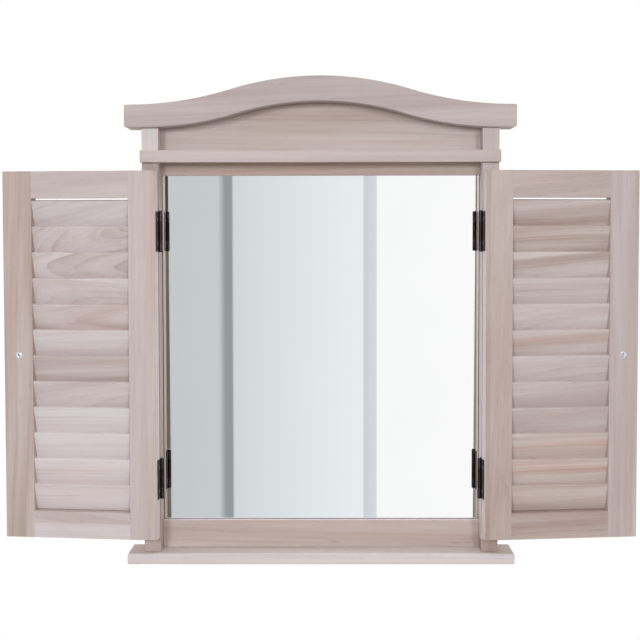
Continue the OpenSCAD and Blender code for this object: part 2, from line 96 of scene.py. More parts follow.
# %% Helpers for node trees
def sockets_in(value):
    several = value if isinstance(value, list) else [value]
    return [item for item in several if isinstance(item, bpy.types.NodeSocket)]


def tree_of(*values):
    return next(socket.id_data for value in values for socket in sockets_in(value))


def put(tree, kind, inputs=None, **settings):
    made = tree.nodes.new(kind)
    for name, value in settings.items():
        setattr(made, name, value)
    for key, value in (inputs or {}).items():
        for socket in sockets_in(value):
            tree.links.new(socket, made.inputs[key])
        if not sockets_in(value):
            made.inputs[key].default_value = value
    return made


def first(tree, kind, inputs=None, **settings):
    return put(tree, kind, inputs, **settings).outputs[0]


def maths(operation):
    def node(*values):
        return first(tree_of(*values), "ShaderNodeMath", dict(enumerate(values)), operation=operation)

    return node


plus, minus, times, divide = map(maths, ("ADD", "SUBTRACT", "MULTIPLY", "DIVIDE"))
times_plus, larger, power, root = map(maths, ("MULTIPLY_ADD", "MAXIMUM", "POWER", "SQRT"))
floor_of, fraction, absolute, exceeds = map(maths, ("FLOOR", "FRACT", "ABSOLUTE", "GREATER_THAN"))
sine, arctangent = map(maths, ("SINE", "ARCTANGENT"))


# %% Helpers for vectors and noise
def vector_calc(operation, *values):
    made = put(tree_of(*values), "ShaderNodeVectorMath", dict(enumerate(values)), operation=operation)
    return made.outputs["Value" if operation == "LENGTH" else "Vector"]


def scaled(start, by):
    return first(tree_of(start, by), "ShaderNodeVectorMath", {0: start, 3: by}, operation="SCALE")


def split(whole):
    return put(whole.id_data, "ShaderNodeSeparateXYZ", {0: whole}).outputs


def vector(x=0.0, y=0.0, z=0.0):
    return first(tree_of(x, y, z), "ShaderNodeCombineXYZ", {0: x, 1: y, 2: z})


def object_place(tree):
    return put(tree, "ShaderNodeTexCoord").outputs["Object"]


def noise(place, scale, detail, roughness=0.5, output="Fac"):
    inputs = {"Vector": place, "Scale": scale, "Detail": detail, "Roughness": roughness}
    return put(place.id_data, "ShaderNodeTexNoise", inputs).outputs[output]


def streaks(place, along, across, detail=2.0, roughness=0.5, offset=0.0):
    drawn_out = vector_calc("MULTIPLY", place, (along, across, across))
    return noise(vector_calc("ADD", drawn_out, (offset, offset, offset)), 1.0, detail, roughness)


def ease(value, low, high, start=0.0, end=1.0):
    limits = {0: value, 1: low, 2: high, 3: start, 4: end}
    return first(value.id_data, "ShaderNodeMapRange", limits, interpolation_type="SMOOTHSTEP")


def blend(factor, one, other, how="MIX"):
    mixed = put(tree_of(factor, one, other), "ShaderNodeMix", {0: factor, 6: one, 7: other}, data_type="RGBA")
    mixed.blend_type = how
    return mixed.outputs[2]


# %% Helpers for materials and groups
def new_material(name):
    material = bpy.data.materials.new(name)
    material.use_nodes = True
    material.node_tree.nodes.clear()
    return material, material.node_tree


def output(shader):
    put(shader.id_data, "ShaderNodeOutputMaterial", {"Surface": shader})


def skin(inputs):
    output(first(tree_of(*inputs.values()), "ShaderNodeBsdfPrincipled", inputs))


def bump(height, distance):
    return first(height.id_data, "ShaderNodeBump", {"Distance": distance, "Height": height})


def new_group(name, inputs, outputs, kind="ShaderNodeTree"):
    tree = bpy.data.node_groups.new(name, kind)
    for title, socket_type, *value in inputs:
        socket = tree.interface.new_socket(title, in_out="INPUT", socket_type=socket_type)
        if value:
            socket.default_value = value[0]
    for title, socket_type in outputs:
        tree.interface.new_socket(title, in_out="OUTPUT", socket_type=socket_type)
    return tree, tree.nodes.new("NodeGroupInput").outputs


def use_group(tree, group, inputs, kind="ShaderNodeGroup"):
    return put(tree, kind, inputs, node_tree=group).outputs


# %% [markdown]
# Colours are easiest to judge as the 0 to 255 values that a screen shows, while Blender's sockets
# want light that adds up. This turns one into the other.

# %% Screen colours
def colour(red, green, blue):
    shares = [c / 255 for c in (red, green, blue)]
    return [c / 12.92 if c < 0.04045 else ((c + 0.055) / 1.055) ** 2.4 for c in shares] + [1.0]


# %% [markdown]
# ## The studio
# Shadows tell where the lamps stood. The cornice throws one no deeper than itself, so they were
# only a little above it. Each post throws a narrow one on the panel, the left one darker, so there
# were two lamps in front, about 15 degrees to either side, and the left one was the stronger. The
# ends of the crown are bright even underneath, because the white backdrop behind the object sends
# light forwards. So the world here is brighter behind than in front. It is a trace warm, and the
# lamps a trace cool, which leaves the fronts neutral and turns the shadows brown.
# The world is plain white to the camera and to reflections, while its light is set apart from
# what is seen, so that the background can be white without brightening the wood.

# %% World
FRONT_LIGHT, BACK_LIGHT = 0.38, 0.86
WARM, COOL = (1.05, 0.985, 0.935), (0.965, 1.01, 1.04)

world = bpy.data.worlds.new("studio")
SCENE.world = world
world.use_nodes = True
tree = world.node_tree
tree.nodes.clear()
ray = put(tree, "ShaderNodeLightPath").outputs
seen = larger(larger(ray["Is Camera Ray"], ray["Is Glossy Ray"]), ray["Is Transmission Ray"])
backwards = split(put(tree, "ShaderNodeTexCoord").outputs["Generated"])[1]
light = ease(backwards, -0.35, 0.35, FRONT_LIGHT, BACK_LIGHT)
strength = first(tree, "ShaderNodeMapRange", {0: seen, 3: light, 4: 1.0})
shade = blend(seen, (*WARM, 1), (1, 1, 1, 1))
sky = first(tree, "ShaderNodeBackground", {"Color": shade, "Strength": strength})
put(tree, "ShaderNodeOutputWorld", {"Surface": sky})
SCENE.view_settings.view_transform = "Standard"
print("ambient light", FRONT_LIGHT, "in front,", BACK_LIGHT, "behind")


# %% Lamps
LAMPS_AIM = Vector((0, 0, -0.2))
LAMPS = {
    #  name: (place, size, watts)
    "left": ((-0.8, -2.9, 0.3), (0.4, 0.4), 27.5),
    "right": ((0.8, -2.9, 0.3), (0.4, 0.4), 20),
    "top": ((0, -0.6, 1.6), (1.6, 1.0), 8),
}
for name, (place, size, watts) in LAMPS.items():
    softbox = bpy.data.lights.new(name, "AREA")
    softbox.shape = "RECTANGLE"
    softbox.size, softbox.size_y = size
    softbox.energy, softbox.color = watts, COOL
    lamp = in_scene(name, softbox)
    lamp.location = place
    lamp.rotation_euler = (LAMPS_AIM - Vector(place)).to_track_quat("-Z", "Y").to_euler()
print("lamps:", list(LAMPS))

# %% [markdown]
# ## The floor
# The object hangs on a wall, so the floor lies well under it and only takes its soft shadow. A
# disc whose edge fades into the white world has no horizon to show. The fade is a distance from
# the middle, turned into the mix between a see-through and a diffuse shader.

# %% Floor
FLOOR_Z, FLOOR_RADIUS, FULL_RADIUS = -1.05, 1.6, 0.56

material, tree = new_material("pale_floor")
near = ease(vector_calc("LENGTH", object_place(tree)), FULL_RADIUS, FLOOR_RADIUS, 1.0, 0.0)
pale = first(tree, "ShaderNodeBsdfDiffuse", {"Color": (0.9, 0.9, 0.9, 1)})
clear = first(tree, "ShaderNodeBsdfTransparent")
output(first(tree, "ShaderNodeMixShader", {0: near, 1: clear, 2: pale}))


def stage_mesh(name, mesh, material, place):
    mesh.materials.append(material)
    made = in_scene(name, mesh)
    made.location = place
    return made


def mesh_from(bm, name):
    mesh = bpy.data.meshes.new(name)
    bm.to_mesh(mesh)
    bm.free()
    return mesh


bm = bmesh.new()
bmesh.ops.create_circle(bm, cap_ends=True, segments=96, radius=FLOOR_RADIUS)
stage_mesh("floor", mesh_from(bm, "floor"), material, (0, 0, FLOOR_Z))
print("floor at", FLOOR_Z)

# %% [markdown]
# ## What the mirror sees
# A mirror has no colour of its own: it shows the room behind the camera. In an empty white world
# it would be one flat white. So a plain screen stands behind the camera, blue-grey at one side
# and brightening to white at the other, with two plain upright flats in front of it. Only
# reflections see it. Its colours are a ramp along its width: places across it, a shade of red,
# green and blue at each, and a straight run from one to the next.

# %% Studio screen
SCREEN_Y = -3.2
SCREEN_LEFT, SCREEN_RIGHT, SCREEN_LOW, SCREEN_HIGH = -0.56, 0.5, -1.3, 0.3
FLATS = [
    (-0.560, (198, 202, 205)),
    (-0.345, (200, 205, 208)),
    (-0.325, (150, 155, 158)),
    (-0.300, (150, 155, 158)),
    (-0.299, (211, 218, 218)),
    (-0.090, (226, 232, 232)),
    (0.108, (236, 240, 240)),
    (0.110, (206, 211, 213)),
    (0.148, (214, 219, 221)),
    (0.150, (250, 251, 251)),
    (0.500, (253, 253, 253)),
]

material, tree = new_material("studio_screen")
across = split(object_place(tree))[0]
share = first(tree, "ShaderNodeMapRange", {0: across, 1: SCREEN_LEFT, 2: SCREEN_RIGHT})
ramp = put(tree, "ShaderNodeValToRGB", {0: share})
stops = ramp.color_ramp.elements
while len(stops) < len(FLATS):
    stops.new(0.5)
for stop, (x, shade) in zip(stops, FLATS):
    stop.position = (x - SCREEN_LEFT) / (SCREEN_RIGHT - SCREEN_LEFT)
for stop, (x, shade) in zip(stops, FLATS):
    stop.color = colour(*shade)
output(first(tree, "ShaderNodeEmission", {"Color": ramp.outputs[0]}))


def reflected_flat(name, corners, material, y):
    mesh = bpy.data.meshes.new(name)
    mesh.from_pydata([(x, 0, z) for x, z in corners], [], [(3, 2, 1, 0)])
    made = stage_mesh(name, mesh, material, (0, y, 0))
    made.visible_camera = made.visible_diffuse = False
    made.visible_shadow = made.visible_transmission = False


def upright(left_foot, right_foot, right_top, left_top):
    feet = [(left_foot, SCREEN_LOW), (right_foot, SCREEN_LOW)]
    return feet + [(right_top, SCREEN_HIGH), (left_top, SCREEN_HIGH)]


reflected_flat("screen", upright(SCREEN_LEFT, SCREEN_RIGHT, SCREEN_RIGHT, SCREEN_LEFT), material, SCREEN_Y)
print("screen stops:", len(stops))

# %% [markdown]
# Two narrow dark flats close off its ends. They are painted shade: the mirror shows them as dark
# bands along its sides, where the real mirror shows shaded parts. They lean a little, so their
# edges in the mirror are not quite upright, as the real bands are not.

# %% Dark ends
PAINTED_SHADE_ENDS = {
    #  name: (outer edge, inner edge at the top, inner edge at the foot, shade at the top and foot)
    "left": (-0.60, -0.5015, -0.496, (72, 63, 56), (104, 97, 86)),
    "right": (0.60, 0.459, 0.451, (78, 66, 62), (128, 126, 126)),
}
# Each end is painted shade: a dark glowing sheet that only reflections see.
for name, (outer, top_x, foot_x, top_shade, foot_shade) in PAINTED_SHADE_ENDS.items():
    material, tree = new_material(name + "_end")
    height = split(object_place(tree))[2]
    shade = blend(ease(height, -0.1, 0.0), colour(*foot_shade), colour(*top_shade))
    output(first(tree, "ShaderNodeEmission", {"Color": shade}))
    reflected_flat(name + "_end", upright(outer, foot_x, top_x, outer), material, SCREEN_Y + 0.01)

# %% [markdown]
# ## Timber
# Most of the object is bare wood, so its grain matters more than anything else here. A board is
# cut from a tree of nested rings, and what shows on its face depends on where the heart of the
# tree lay: far to one side gives straight lines, and close behind the face gives arches. A
# picture of wood can't do that on every side of a piece, so this group works it out in the solid.
# It reads a point given as distances along, across and into the tree from its heart. The rings
# are the distance from the heart, and noise drawn out along the fibres gives the fine streaks.

# %% Timber group
FLOAT, VECTOR, COLOUR = "NodeSocketFloat", "NodeSocketVector", "NodeSocketColor"
PALE_WOOD, DEEP_WOOD = colour(219, 210, 210), colour(158, 134, 123)
LATE_WOOD, RED_WOOD, VESSEL_WOOD = colour(140, 114, 102), colour(196, 152, 137), colour(112, 88, 78)
COOL_TINT, WARM_TINT = (0.985, 0.995, 1.035, 1), (1.02, 0.995, 0.955, 1)
TIMBER_SIZES = {"Ring Width": 0.005, "Wander": 0.012, "Dim": 0.0}
TIMBER_SHARES = dict.fromkeys(("Lines", "Streaks", "Flecks"), 0.5)

inputs = [("Place", VECTOR), ("Board", VECTOR)]
inputs += [(title, FLOAT, value) for title, value in (TIMBER_SIZES | TIMBER_SHARES).items()]
timber, given = new_group("timber", inputs, [("Colour", COLOUR), ("Roughness", FLOAT), ("Height", FLOAT)])
place = given["Place"]
tone, warmth, figure = split(given["Board"])

# %% [markdown]
# First the rings. The slow noise bends them as a trunk bends, and the quicker one makes them
# waver. A second noise along the ring number crowds some rings and spreads others.

# %% Rings
along, across, inward = split(place)
heart = vector_calc("LENGTH", vector_calc("MULTIPLY", place, (0, 1, 1)))
bend = minus(streaks(place, 4, 16), 0.5)
waver = minus(streaks(place, 24, 90), 0.5)
reach = times_plus(bend, given["Wander"], heart)
reach = times_plus(waver, 0.0022, reach)
years = divide(reach, given["Ring Width"])
crowding = {"W": years, "Scale": 0.35, "Detail": 1.0}
crowd = put(timber, "ShaderNodeTexNoise", crowding, noise_dimensions="1D").outputs["Fac"]
years = times_plus(crowd, 1.6, years)
phase = fraction(years)
ring = {"W": floor_of(years)}
odds = put(timber, "ShaderNodeTexWhiteNoise", ring, noise_dimensions="1D").outputs["Value"]
boldness = times_plus(power(odds, 2.0), 0.85, 0.15)
line = times(power(phase, 3.0), ease(phase, 0.93, 1.0, 1.0, 0.0))
line = times(line, boldness)
line = times(line, ease(streaks(place, 9, 60), 0.3, 0.6))

# %% [markdown]
# Then the broad bands of paler and darker wood that follow the rings, the fibre streaks, and the
# short dark flecks of open vessels. The flecks are noise with only its peaks kept.

# %% Bands, streaks and flecks
band_place = vector(times(along, 3.0), times(years, 0.33), 4.7)
bands = put(timber, "ShaderNodeSeparateColor", {0: noise(band_place, 1.0, 1.5, output="Color")}).outputs
broad = minus(bands[0], 0.5)
fibre = minus(streaks(place, 30, 1500, 3.0, 0.65), 0.5)
strand = minus(streaks(place, 7, 300, 2.0, 0.6, 3.1), 0.5)
vessels = ease(streaks(place, 90, 1700, 1.0, 0.5, 7.7), 0.66, 0.76)
early = ease(phase, 0.0, 0.55, 1.0, 0.15)
vessels = times(vessels, times(early, given["Flecks"]))
ticks = ease(streaks(place, 45, 420, 1.0, 0.5, 12.3), 0.735, 0.79)
ticks = times(ticks, times(given["Flecks"], figure))

# %% [markdown]
# The wood of this object runs along one line of colour, from a pale lilac-white to a deeper
# beige, and one number says how far along a point is. A board's own tone starts the sum, and the
# bands, lines and streaks add to it. Warmth then turns the whole towards rose or towards honey,
# and Dim takes a share of its brightness, where a part is to be darker than its board. Under the
# crown, Dim is painted shade.

# %% Colour of the wood
depth = times_plus(broad, times_plus(figure, 0.9, 0.25), tone)
depth = times_plus(strand, times(given["Streaks"], 0.55), depth)
depth = times_plus(fibre, times(given["Streaks"], 0.5), depth)
depth = first(timber, "ShaderNodeClamp", {0: depth, 1: 0.0, 2: 1.3})
wood = blend(depth, PALE_WOOD, DEEP_WOOD)
blush = times(ease(bands[1], 0.55, 0.75), times(warmth, 0.45))
wood = blend(blush, wood, RED_WOOD)
late = times(line, times(given["Lines"], figure))
wood = blend(late, wood, LATE_WOOD)
dark = larger(times(vessels, 0.5), times(ticks, 0.7))
wood = blend(dark, wood, VESSEL_WOOD)
wood = blend(1.0, wood, blend(warmth, COOL_TINT, WARM_TINT), "MULTIPLY")
wood = scaled(wood, minus(1.0, given["Dim"]))
rough = times_plus(fibre, 0.2, 0.66)
height = times_plus(fibre, 0.7, times(late, 0.25))
height = times_plus(larger(vessels, ticks), -0.8, height)
put(timber, "NodeGroupOutput", {"Colour": wood, "Roughness": rough, "Height": height})
print("timber group:", len(timber.nodes), "nodes")


# %% [markdown]
# Two materials use the group with their own values: the frame's sawn and planed boards, and the
# slats, which are cut thin from boards with more figure. Each reads the attributes that every
# wooden piece gets when it is made: where its wood lay in the tree, its board's tone, warmth and
# figure, and how much darker it is, which is nothing where a piece has no such attribute.

# %% Wooden materials
def attribute(tree, name, output="Vector"):
    return put(tree, "ShaderNodeAttribute", attribute_name=name).outputs[output]


def timber_material(name, values):
    material, tree = new_material(name)
    read_from_mesh = {
        "Place": attribute(tree, "grain_at"),
        "Board": attribute(tree, "board"),
        "Dim": attribute(tree, "dim", "Fac"),
    }
    shade, rough, height = use_group(tree, timber, {**read_from_mesh, **values})
    relief = bump(height, GRAIN_RELIEF)
    skin({"Base Color": shade, "Roughness": rough, "Normal": relief, "Specular IOR Level": 0.3})
    return material


GRAIN_RELIEF = 0.00012
FRAME_GRAIN = {"Ring Width": 0.0052, "Wander": 0.012, "Lines": 0.55, "Streaks": 0.55, "Flecks": 0.5}
SLAT_GRAIN = {"Ring Width": 0.0042, "Wander": 0.016, "Lines": 0.75, "Streaks": 0.6, "Flecks": 0.45}
planed_wood = timber_material("planed_wood", FRAME_GRAIN)
slat_wood = timber_material("slat_wood", SLAT_GRAIN)
print("wooden materials:", planed_wood.name, slat_wood.name)

# %% [markdown]
# ## Metal, mirror and board
# The hinges are thin dark-bronzed steel, browner on the shutters' leaves than on the frame's, and
# the heads of their screws are brighter. Hands rub such a finish pale in places, so a shared
# group gives a patchy mask of rubs and fine scratches, which each metal uses in its own way.

# %% Handling group
handling, given = new_group(
    "handling", [("Rubs", FLOAT, 0.5), ("Scratches", FLOAT, 0.5)], [("Rubbed", FLOAT), ("Mottle", FLOAT)]
)
spot = object_place(handling)
mottle = noise(spot, 240.0, 4.0)
rubs = times(ease(mottle, 0.56, 0.7), ease(noise(spot, 900.0, 3.0), 0.4, 0.65))
rubs = times(rubs, given["Rubs"])
scratch = noise(vector_calc("MULTIPLY", spot, (3200, 3200, 130)), 1.0, 1.0)
scratch = times(ease(scratch, 0.68, 0.78), given["Scratches"])
put(handling, "NodeGroupOutput", {"Rubbed": larger(rubs, scratch), "Mottle": mottle})
print("handling group:", len(handling.nodes), "nodes")


# %% Metals
def metal_material(name, plain, worn, roughness, rubs, scratches):
    material, tree = new_material(name)
    rubbed, mottle = use_group(tree, handling, {"Rubs": rubs, "Scratches": scratches})
    shade = blend(rubbed, colour(*plain), colour(*worn))
    rough = times_plus(mottle, 0.25, roughness - 0.125)
    skin({"Base Color": shade, "Metallic": 1.0, "Roughness": rough, "Normal": bump(mottle, 0.00003)})
    return material


RUBBED_LITTLE, RUBBED_BRIGHT, RUBBED_ZINC = (0.42, 0.5, 0.4), (0.36, 0.6, 0.5), (0.34, 0.4, 0.5)
bronzed_iron = metal_material("bronzed_iron", (54, 48, 50), (110, 103, 102), *RUBBED_LITTLE)
dark_bronze = metal_material("dark_bronze", (46, 34, 31), (104, 88, 80), *RUBBED_LITTLE)
rubbed_bronze = metal_material("rubbed_bronze", (132, 122, 118), (176, 168, 164), *RUBBED_BRIGHT)
zinc_steel = metal_material("zinc_steel", (176, 178, 188), (206, 206, 210), *RUBBED_ZINC)
FRAME_WOOD, SLAT_WOOD = ("frame_wood", planed_wood), ("slat_wood", slat_wood)
IRON, BRONZE, BRIGHT = (("hinge_iron", metal) for metal in (bronzed_iron, dark_bronze, rubbed_bronze))
ZINC = ("zinc_steel", zinc_steel)
for slot, material in (FRAME_WOOD, SLAT_WOOD, IRON, BRONZE, BRIGHT, ZINC):
    print("slot", slot, "takes", material.name)

# %% [markdown]
# The mirror is silvered float glass. Seen from the front it behaves as polished metal, so it is
# made as metal, with a faint film that varies how clear and how bright it is.
# Where it meets the frame, at its sides and foot, a thin brown line is painted on it. It is painted
# shade of the gap to the wood, doubled as a painted reflection.
# The backing is hardboard, whose rough side carries the weave of the screen it was pressed on.

# %% Mirror
GLASS_EDGE_X, GLASS_EDGE_Z = 173.6 * MM, SILL_Z + 41.9 * MM
SHADE_LINE_FADE = 0.3 * MM

silvered_glass, tree = new_material("silvered_glass")
spot = object_place(tree)
film = noise(spot, 9.0, 5.0)
rough = ease(film, 0.35, 0.8, 0.006, 0.02)
tint = blend(ease(film, 0.3, 0.7), (0.975, 0.972, 0.975, 1), (0.962, 0.962, 0.963, 1))
x, y, z = split(spot)
# Painted shade and painted reflection: a brown line at the sides and a paler one at the foot.
beside = ease(absolute(x), GLASS_EDGE_X, GLASS_EDGE_X + SHADE_LINE_FADE)
beneath = ease(z, GLASS_EDGE_Z, GLASS_EDGE_Z - SHADE_LINE_FADE)
tint = blend(beneath, tint, colour(142, 127, 130))
tint = blend(beside, tint, colour(84, 68, 62))
skin({"Base Color": tint, "Metallic": 1.0, "Roughness": rough})

# %% Hardboard
WEAVE = 2 * math.pi / 0.0016

hardboard, tree = new_material("hardboard")
spot = object_place(tree)
x, y, z = split(spot)
weave = times(sine(times(z, WEAVE)), sine(times(x, WEAVE)))
fluff = noise(spot, 420.0, 4.0)
brown = blend(fluff, colour(112, 80, 54), colour(150, 112, 80))
brown = blend(ease(noise(spot, 22.0, 3.0), 0.35, 0.7, 0.0, 0.35), brown, colour(132, 100, 76))
relief = bump(times_plus(weave, 0.5, fluff), 0.0002)
skin({"Base Color": brown, "Roughness": ease(fluff, 0.2, 0.8, 0.7, 0.9), "Normal": relief})
print("plain materials:", silvered_glass.name, hardboard.name)

# %% [markdown]
# ## Where a shutter is
# The shutters are drawn swung open, 8 degrees past flat, about the pins of their hinges. Work on
# a shutter is far easier while it lies square, so this matrix says where a square, closed leaf
# goes: its hinge edge at x = 0, its outer face at y = 0 and its lower end at z = 0. The left one
# reaches towards +X and the right one towards -X, which mirrors them with no negative scale.

# %% Shutter frames
PIN_X, PIN_Y, LEAF_Z = 172.2 * MM, -42.5 * MM, SILL_Z + 27 * MM
KNUCKLE_R, STAND_OFF = 2.3 * MM, 2.5 * MM
OPEN_TURN = 188
REACH = {"left": 1, "right": -1}


def leaf_frame(side):
    way = REACH[side]
    return (
        Matrix.Translation((-way * PIN_X, PIN_Y, LEAF_Z))
        @ Matrix.Rotation(math.radians(-way * OPEN_TURN), 4, "Z")
        @ Matrix.Translation((way * KNUCKLE_R, STAND_OFF, 0))
    )


WALL_FRAME = Matrix.Identity(4)
print("left leaf's hinge edge:", [round(c, 4) for c in leaf_frame("left").to_translation()])

# %% [markdown]
# ## Boards
# A wooden piece is told where its wood lay in the tree by one attribute: for every point, the
# distance along the fibres, and the two distances from the heart. `heart` is how far the heart
# lay from the piece's middle, across its face and behind it, and `drift` is how much the fibres
# lean as they run along. The attribute follows the piece's own square shape, so that a shutter's
# grain runs true although the shutter is turned. `where` picks the points of a part that came
# from another board.

# %% Grain for a piece
def set_vectors(mesh, name, values, where=None):
    attribute = mesh.attributes.get(name) or mesh.attributes.new(name, "FLOAT_VECTOR", "POINT")
    values = np.array(values, np.float32)
    if where is not None:
        old = np.empty(values.size, np.float32)
        attribute.data.foreach_get("vector", old)
        values[~where] = old.reshape(-1, 3)[~where]
    attribute.data.foreach_set("vector", values.ravel())


def set_dim(mesh, values):
    mesh.attributes.new("dim", "FLOAT", "POINT").data.foreach_set("value", np.array(values, np.float32))


def points_of(mesh, square=WALL_FRAME):
    points = np.empty(len(mesh.vertices) * 3, np.float32)
    mesh.vertices.foreach_get("co", points)
    back = np.array(square.inverted())
    return points.reshape(-1, 3) @ back[:3, :3].T + back[:3, 3]


TURNED_TO_FIBRE = {"x": (0, 2, 1), "y": (1, 0, 2), "z": (2, 0, 1)}


def lay_grain(mesh, square, grain, board, where=None):
    fibre, heart, drift, start = grain
    points = points_of(mesh, square)
    middle = (points.min(0) + points.max(0)) / 2
    along, across, inward = (points - middle)[:, TURNED_TO_FIBRE[fibre]].T
    rows = [along + start, across + heart[0] + drift[0] * along, inward + heart[1] + drift[1] * along]
    set_vectors(mesh, "grain_at", np.stack(rows, axis=1), where)
    set_vectors(mesh, "board", np.tile(board, (len(points), 1)), where)


# %% [markdown]
# ## Eased edges
# A CAD body has perfectly sharp corners, which catch no light and look like card. A joiner takes
# each corner off with a stroke of sandpaper. The CAD piece may not be touched, so this copies it,
# merges its loose triangles into one skin, and dissolves the lines inside flat faces. Then it
# gives a bevel weight to the edges a hand would reach. A board's long edges lie where two walls of
# its own box meet, so an edge is eased if at least `needed` of the named walls hold it. Weighted
# normals keep the flat faces flat. A board that is part of a leaf is eased fully where it lies on
# the leaf's outline, whose two corners are `whole`, and barely at its joints. Where two kinds of
# wood meet in one piece, `joint` is a plane that cuts the skin twice, a hair apart, so that each
# side can have its own grain.

# %% Copies with eased edges
TOUCHING, HAIR = 2e-6, 0.05 * MM
SAME_PLANE, ROUND, SHARP = (math.radians(angle) for angle in (0.15, 28, 35))
EASED_AT_JOINT = 0.3


def plain_mesh(holder):
    normals = holder.modifiers.new("flat faces", "WEIGHTED_NORMAL")
    normals.keep_sharp = True
    seen_now = bpy.context.evaluated_depsgraph_get()
    mesh = bpy.data.meshes.new_from_object(
        holder.evaluated_get(seen_now), preserve_all_data_layers=True, depsgraph=seen_now
    )
    bpy.data.objects.remove(holder)
    return mesh


def walls_held(a, b, walls, low, high):
    return sum(
        any(max(abs(a[i] - wall), abs(b[i] - wall)) < TOUCHING for wall in (low[i], high[i])) for i in walls
    )


def mark_edges(bm, square, walls, needed, whole):
    back = square.inverted()
    places = {v: back @ v.co for v in bm.verts}
    low = [min(p[i] for p in places.values()) for i in range(3)]
    high = [max(p[i] for p in places.values()) for i in range(3)]
    weight = bm.edges.layers.float.new("bevel_weight_edge")
    marked = 0
    for edge in bm.edges:
        if len(edge.link_faces) != 2:
            continue
        bend = edge.calc_face_angle_signed(0)
        edge.smooth = abs(bend) < ROUND
        if bend < SHARP:
            continue
        a, b = (places[v] for v in edge.verts)
        if walls_held(a, b, walls, low, high) >= needed:
            outer = whole is None or walls_held(a, b, walls, *whole) >= needed
            edge[weight] = 1.0 if outer else EASED_AT_JOINT
            edge.smooth = True
            marked += 1
    return marked


def eased_mesh(
    name, source, width, square=WALL_FRAME, walls="xyz", needed=2, segments=3, joint=None, whole=None
):
    bm = bmesh.new()
    bm.from_mesh(source)
    bmesh.ops.remove_doubles(bm, verts=bm.verts, dist=TOUCHING)
    bmesh.ops.dissolve_limit(
        bm, angle_limit=SAME_PLANE, verts=bm.verts, edges=bm.edges, use_dissolve_boundaries=False
    )
    for step in (-HAIR, HAIR) if joint else ():
        point, across = joint
        everything = bm.verts[:] + bm.edges[:] + bm.faces[:]
        bmesh.ops.bisect_plane(bm, geom=everything, plane_co=point + across * step, plane_no=across)
    marked = mark_edges(bm, square, ["xyz".index(wall) for wall in walls], needed, whole)
    for face in bm.faces:
        face.smooth = True
    holder = in_scene("holder", mesh_from(bm, name))
    bevel = holder.modifiers.new("eased", "BEVEL")
    bevel.limit_method = "WEIGHT"
    bevel.width = width
    bevel.segments = segments
    bevel.use_clamp_overlap = False
    print(name, "edges eased:", marked)
    return plain_mesh(holder)


def put_in_place(name, mesh, body, finish, *nodes):
    slot, material = finish
    mesh.materials.clear()
    mesh.materials.append(material)
    for face in mesh.polygons:
        face.material_index = 0
    piece = in_scene(name, mesh)
    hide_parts(*nodes)
    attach(piece, body)


# %% [markdown]
# ## The frame's boards
# Each line below is one board. The fibres run along its length, as a joiner would cut it. The
# posts and the crown come from pale wood, and the panel under the crown from a warmer, more
# figured board. The three numbers at the end are tone, warmth and figure. Two pieces are made as
# if glued up from two boards: the left post has a pale length let in at its top, and the left
# shutter's bottom rail is paler in its lower half. The right post is cut the same way, and is
# browner below the cut, at its foot. The sill's upper face is deeper in colour than its edge,
# partly its own tone and partly painted shade. That of the lower rail, before the glass, is paler:
# painted light, as if more light fell on it from above.

# %% Frame boards
FRAME_BOARDS = {
    #  node: (easing, (fibre, heart, drift, start), (tone, warmth, figure))
    "left_post": (0.6, ("z", (0.11, 0.05), (0.01, 0.02), 11.0), (0.62, 0.4, 0.5)),
    "right_post": (0.6, ("z", (0.14, 0.03), (-0.02, 0.01), 12.3), (0.35, 0.25, 0.5)),
    "pediment_panel": (0.3, ("x", (0.07, 0.02), (0.01, 0.02), 13.1), (0.43, 1.0, 0.7)),
    "cornice": (0.7, ("x", (0.12, 0.03), (0.01, 0.0), 14.9), (0.46, 0.45, 0.3)),
    "upper_rail": (0.5, ("x", (0.09, 0.03), (-0.02, 0.01), 16.2), (0.72, 1.3, 0.5)),
    "lower_rail": (0.5, ("x", (0.05, 0.02), (0.02, 0.03), 17.7), (0.48, 1.0, 0.6)),
    "sill": (0.3, ("x", (0.03, 0.05), (0.01, 0.02), 18.4), (0.12, 0.2, 0.4)),
}
CUT_PIECES = {
    #  node: (height of the joint, the part above it?, grain as above)
    "left_post": (440, True, ("z", (0.05, 0.03), (0.02, 0), 61.0), (0.0, 0.45, 0.3)),
    "right_post": (24, False, ("z", (0.03, 0.04), (0.02, 0), 63.0), (0.78, 0.7, 0.4)),
    "left_bottom_rail": (43.5, False, ("x", (0.10, 0.04), (0.0, 0.02), 62.0), (0.27, 0.1, 0.3)),
}
TOP_FACES_PAINTED_LIGHT_AND_SHADE = {"sill": (0.26, 0.8, 0.6), "lower_rail": (0.0, 0.0, 0.2)}


def cut_part(mesh, node, square):
    if node in CUT_PIECES:
        joint, above, grain, board = CUT_PIECES[node]
        higher = points_of(mesh)[:, 2] > SILL_Z + joint * MM
        lay_grain(mesh, square, grain, board, where=higher == above)


def joint_plane(node):
    return (Vector((0, 0, SILL_Z + CUT_PIECES[node][0] * MM)), Vector((0, 0, 1))) if node in CUT_PIECES else None


for node, (width, grain, board) in FRAME_BOARDS.items():
    mesh = eased_mesh(node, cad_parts[node].data, width * MM, joint=joint_plane(node))
    lay_grain(mesh, WALL_FRAME, grain, board)
    cut_part(mesh, node, WALL_FRAME)
    # Upper faces get their own tone: painted light on the lower rail, and on the sill partly painted shade.
    if node in TOP_FACES_PAINTED_LIGHT_AND_SHADE:
        z = points_of(mesh)[:, 2]
        lay_grain(mesh, WALL_FRAME, grain, TOP_FACES_PAINTED_LIGHT_AND_SHADE[node], where=z > z.max() - 1e-6)
    put_in_place("eased_" + node, mesh, "frame", FRAME_WOOD, node)
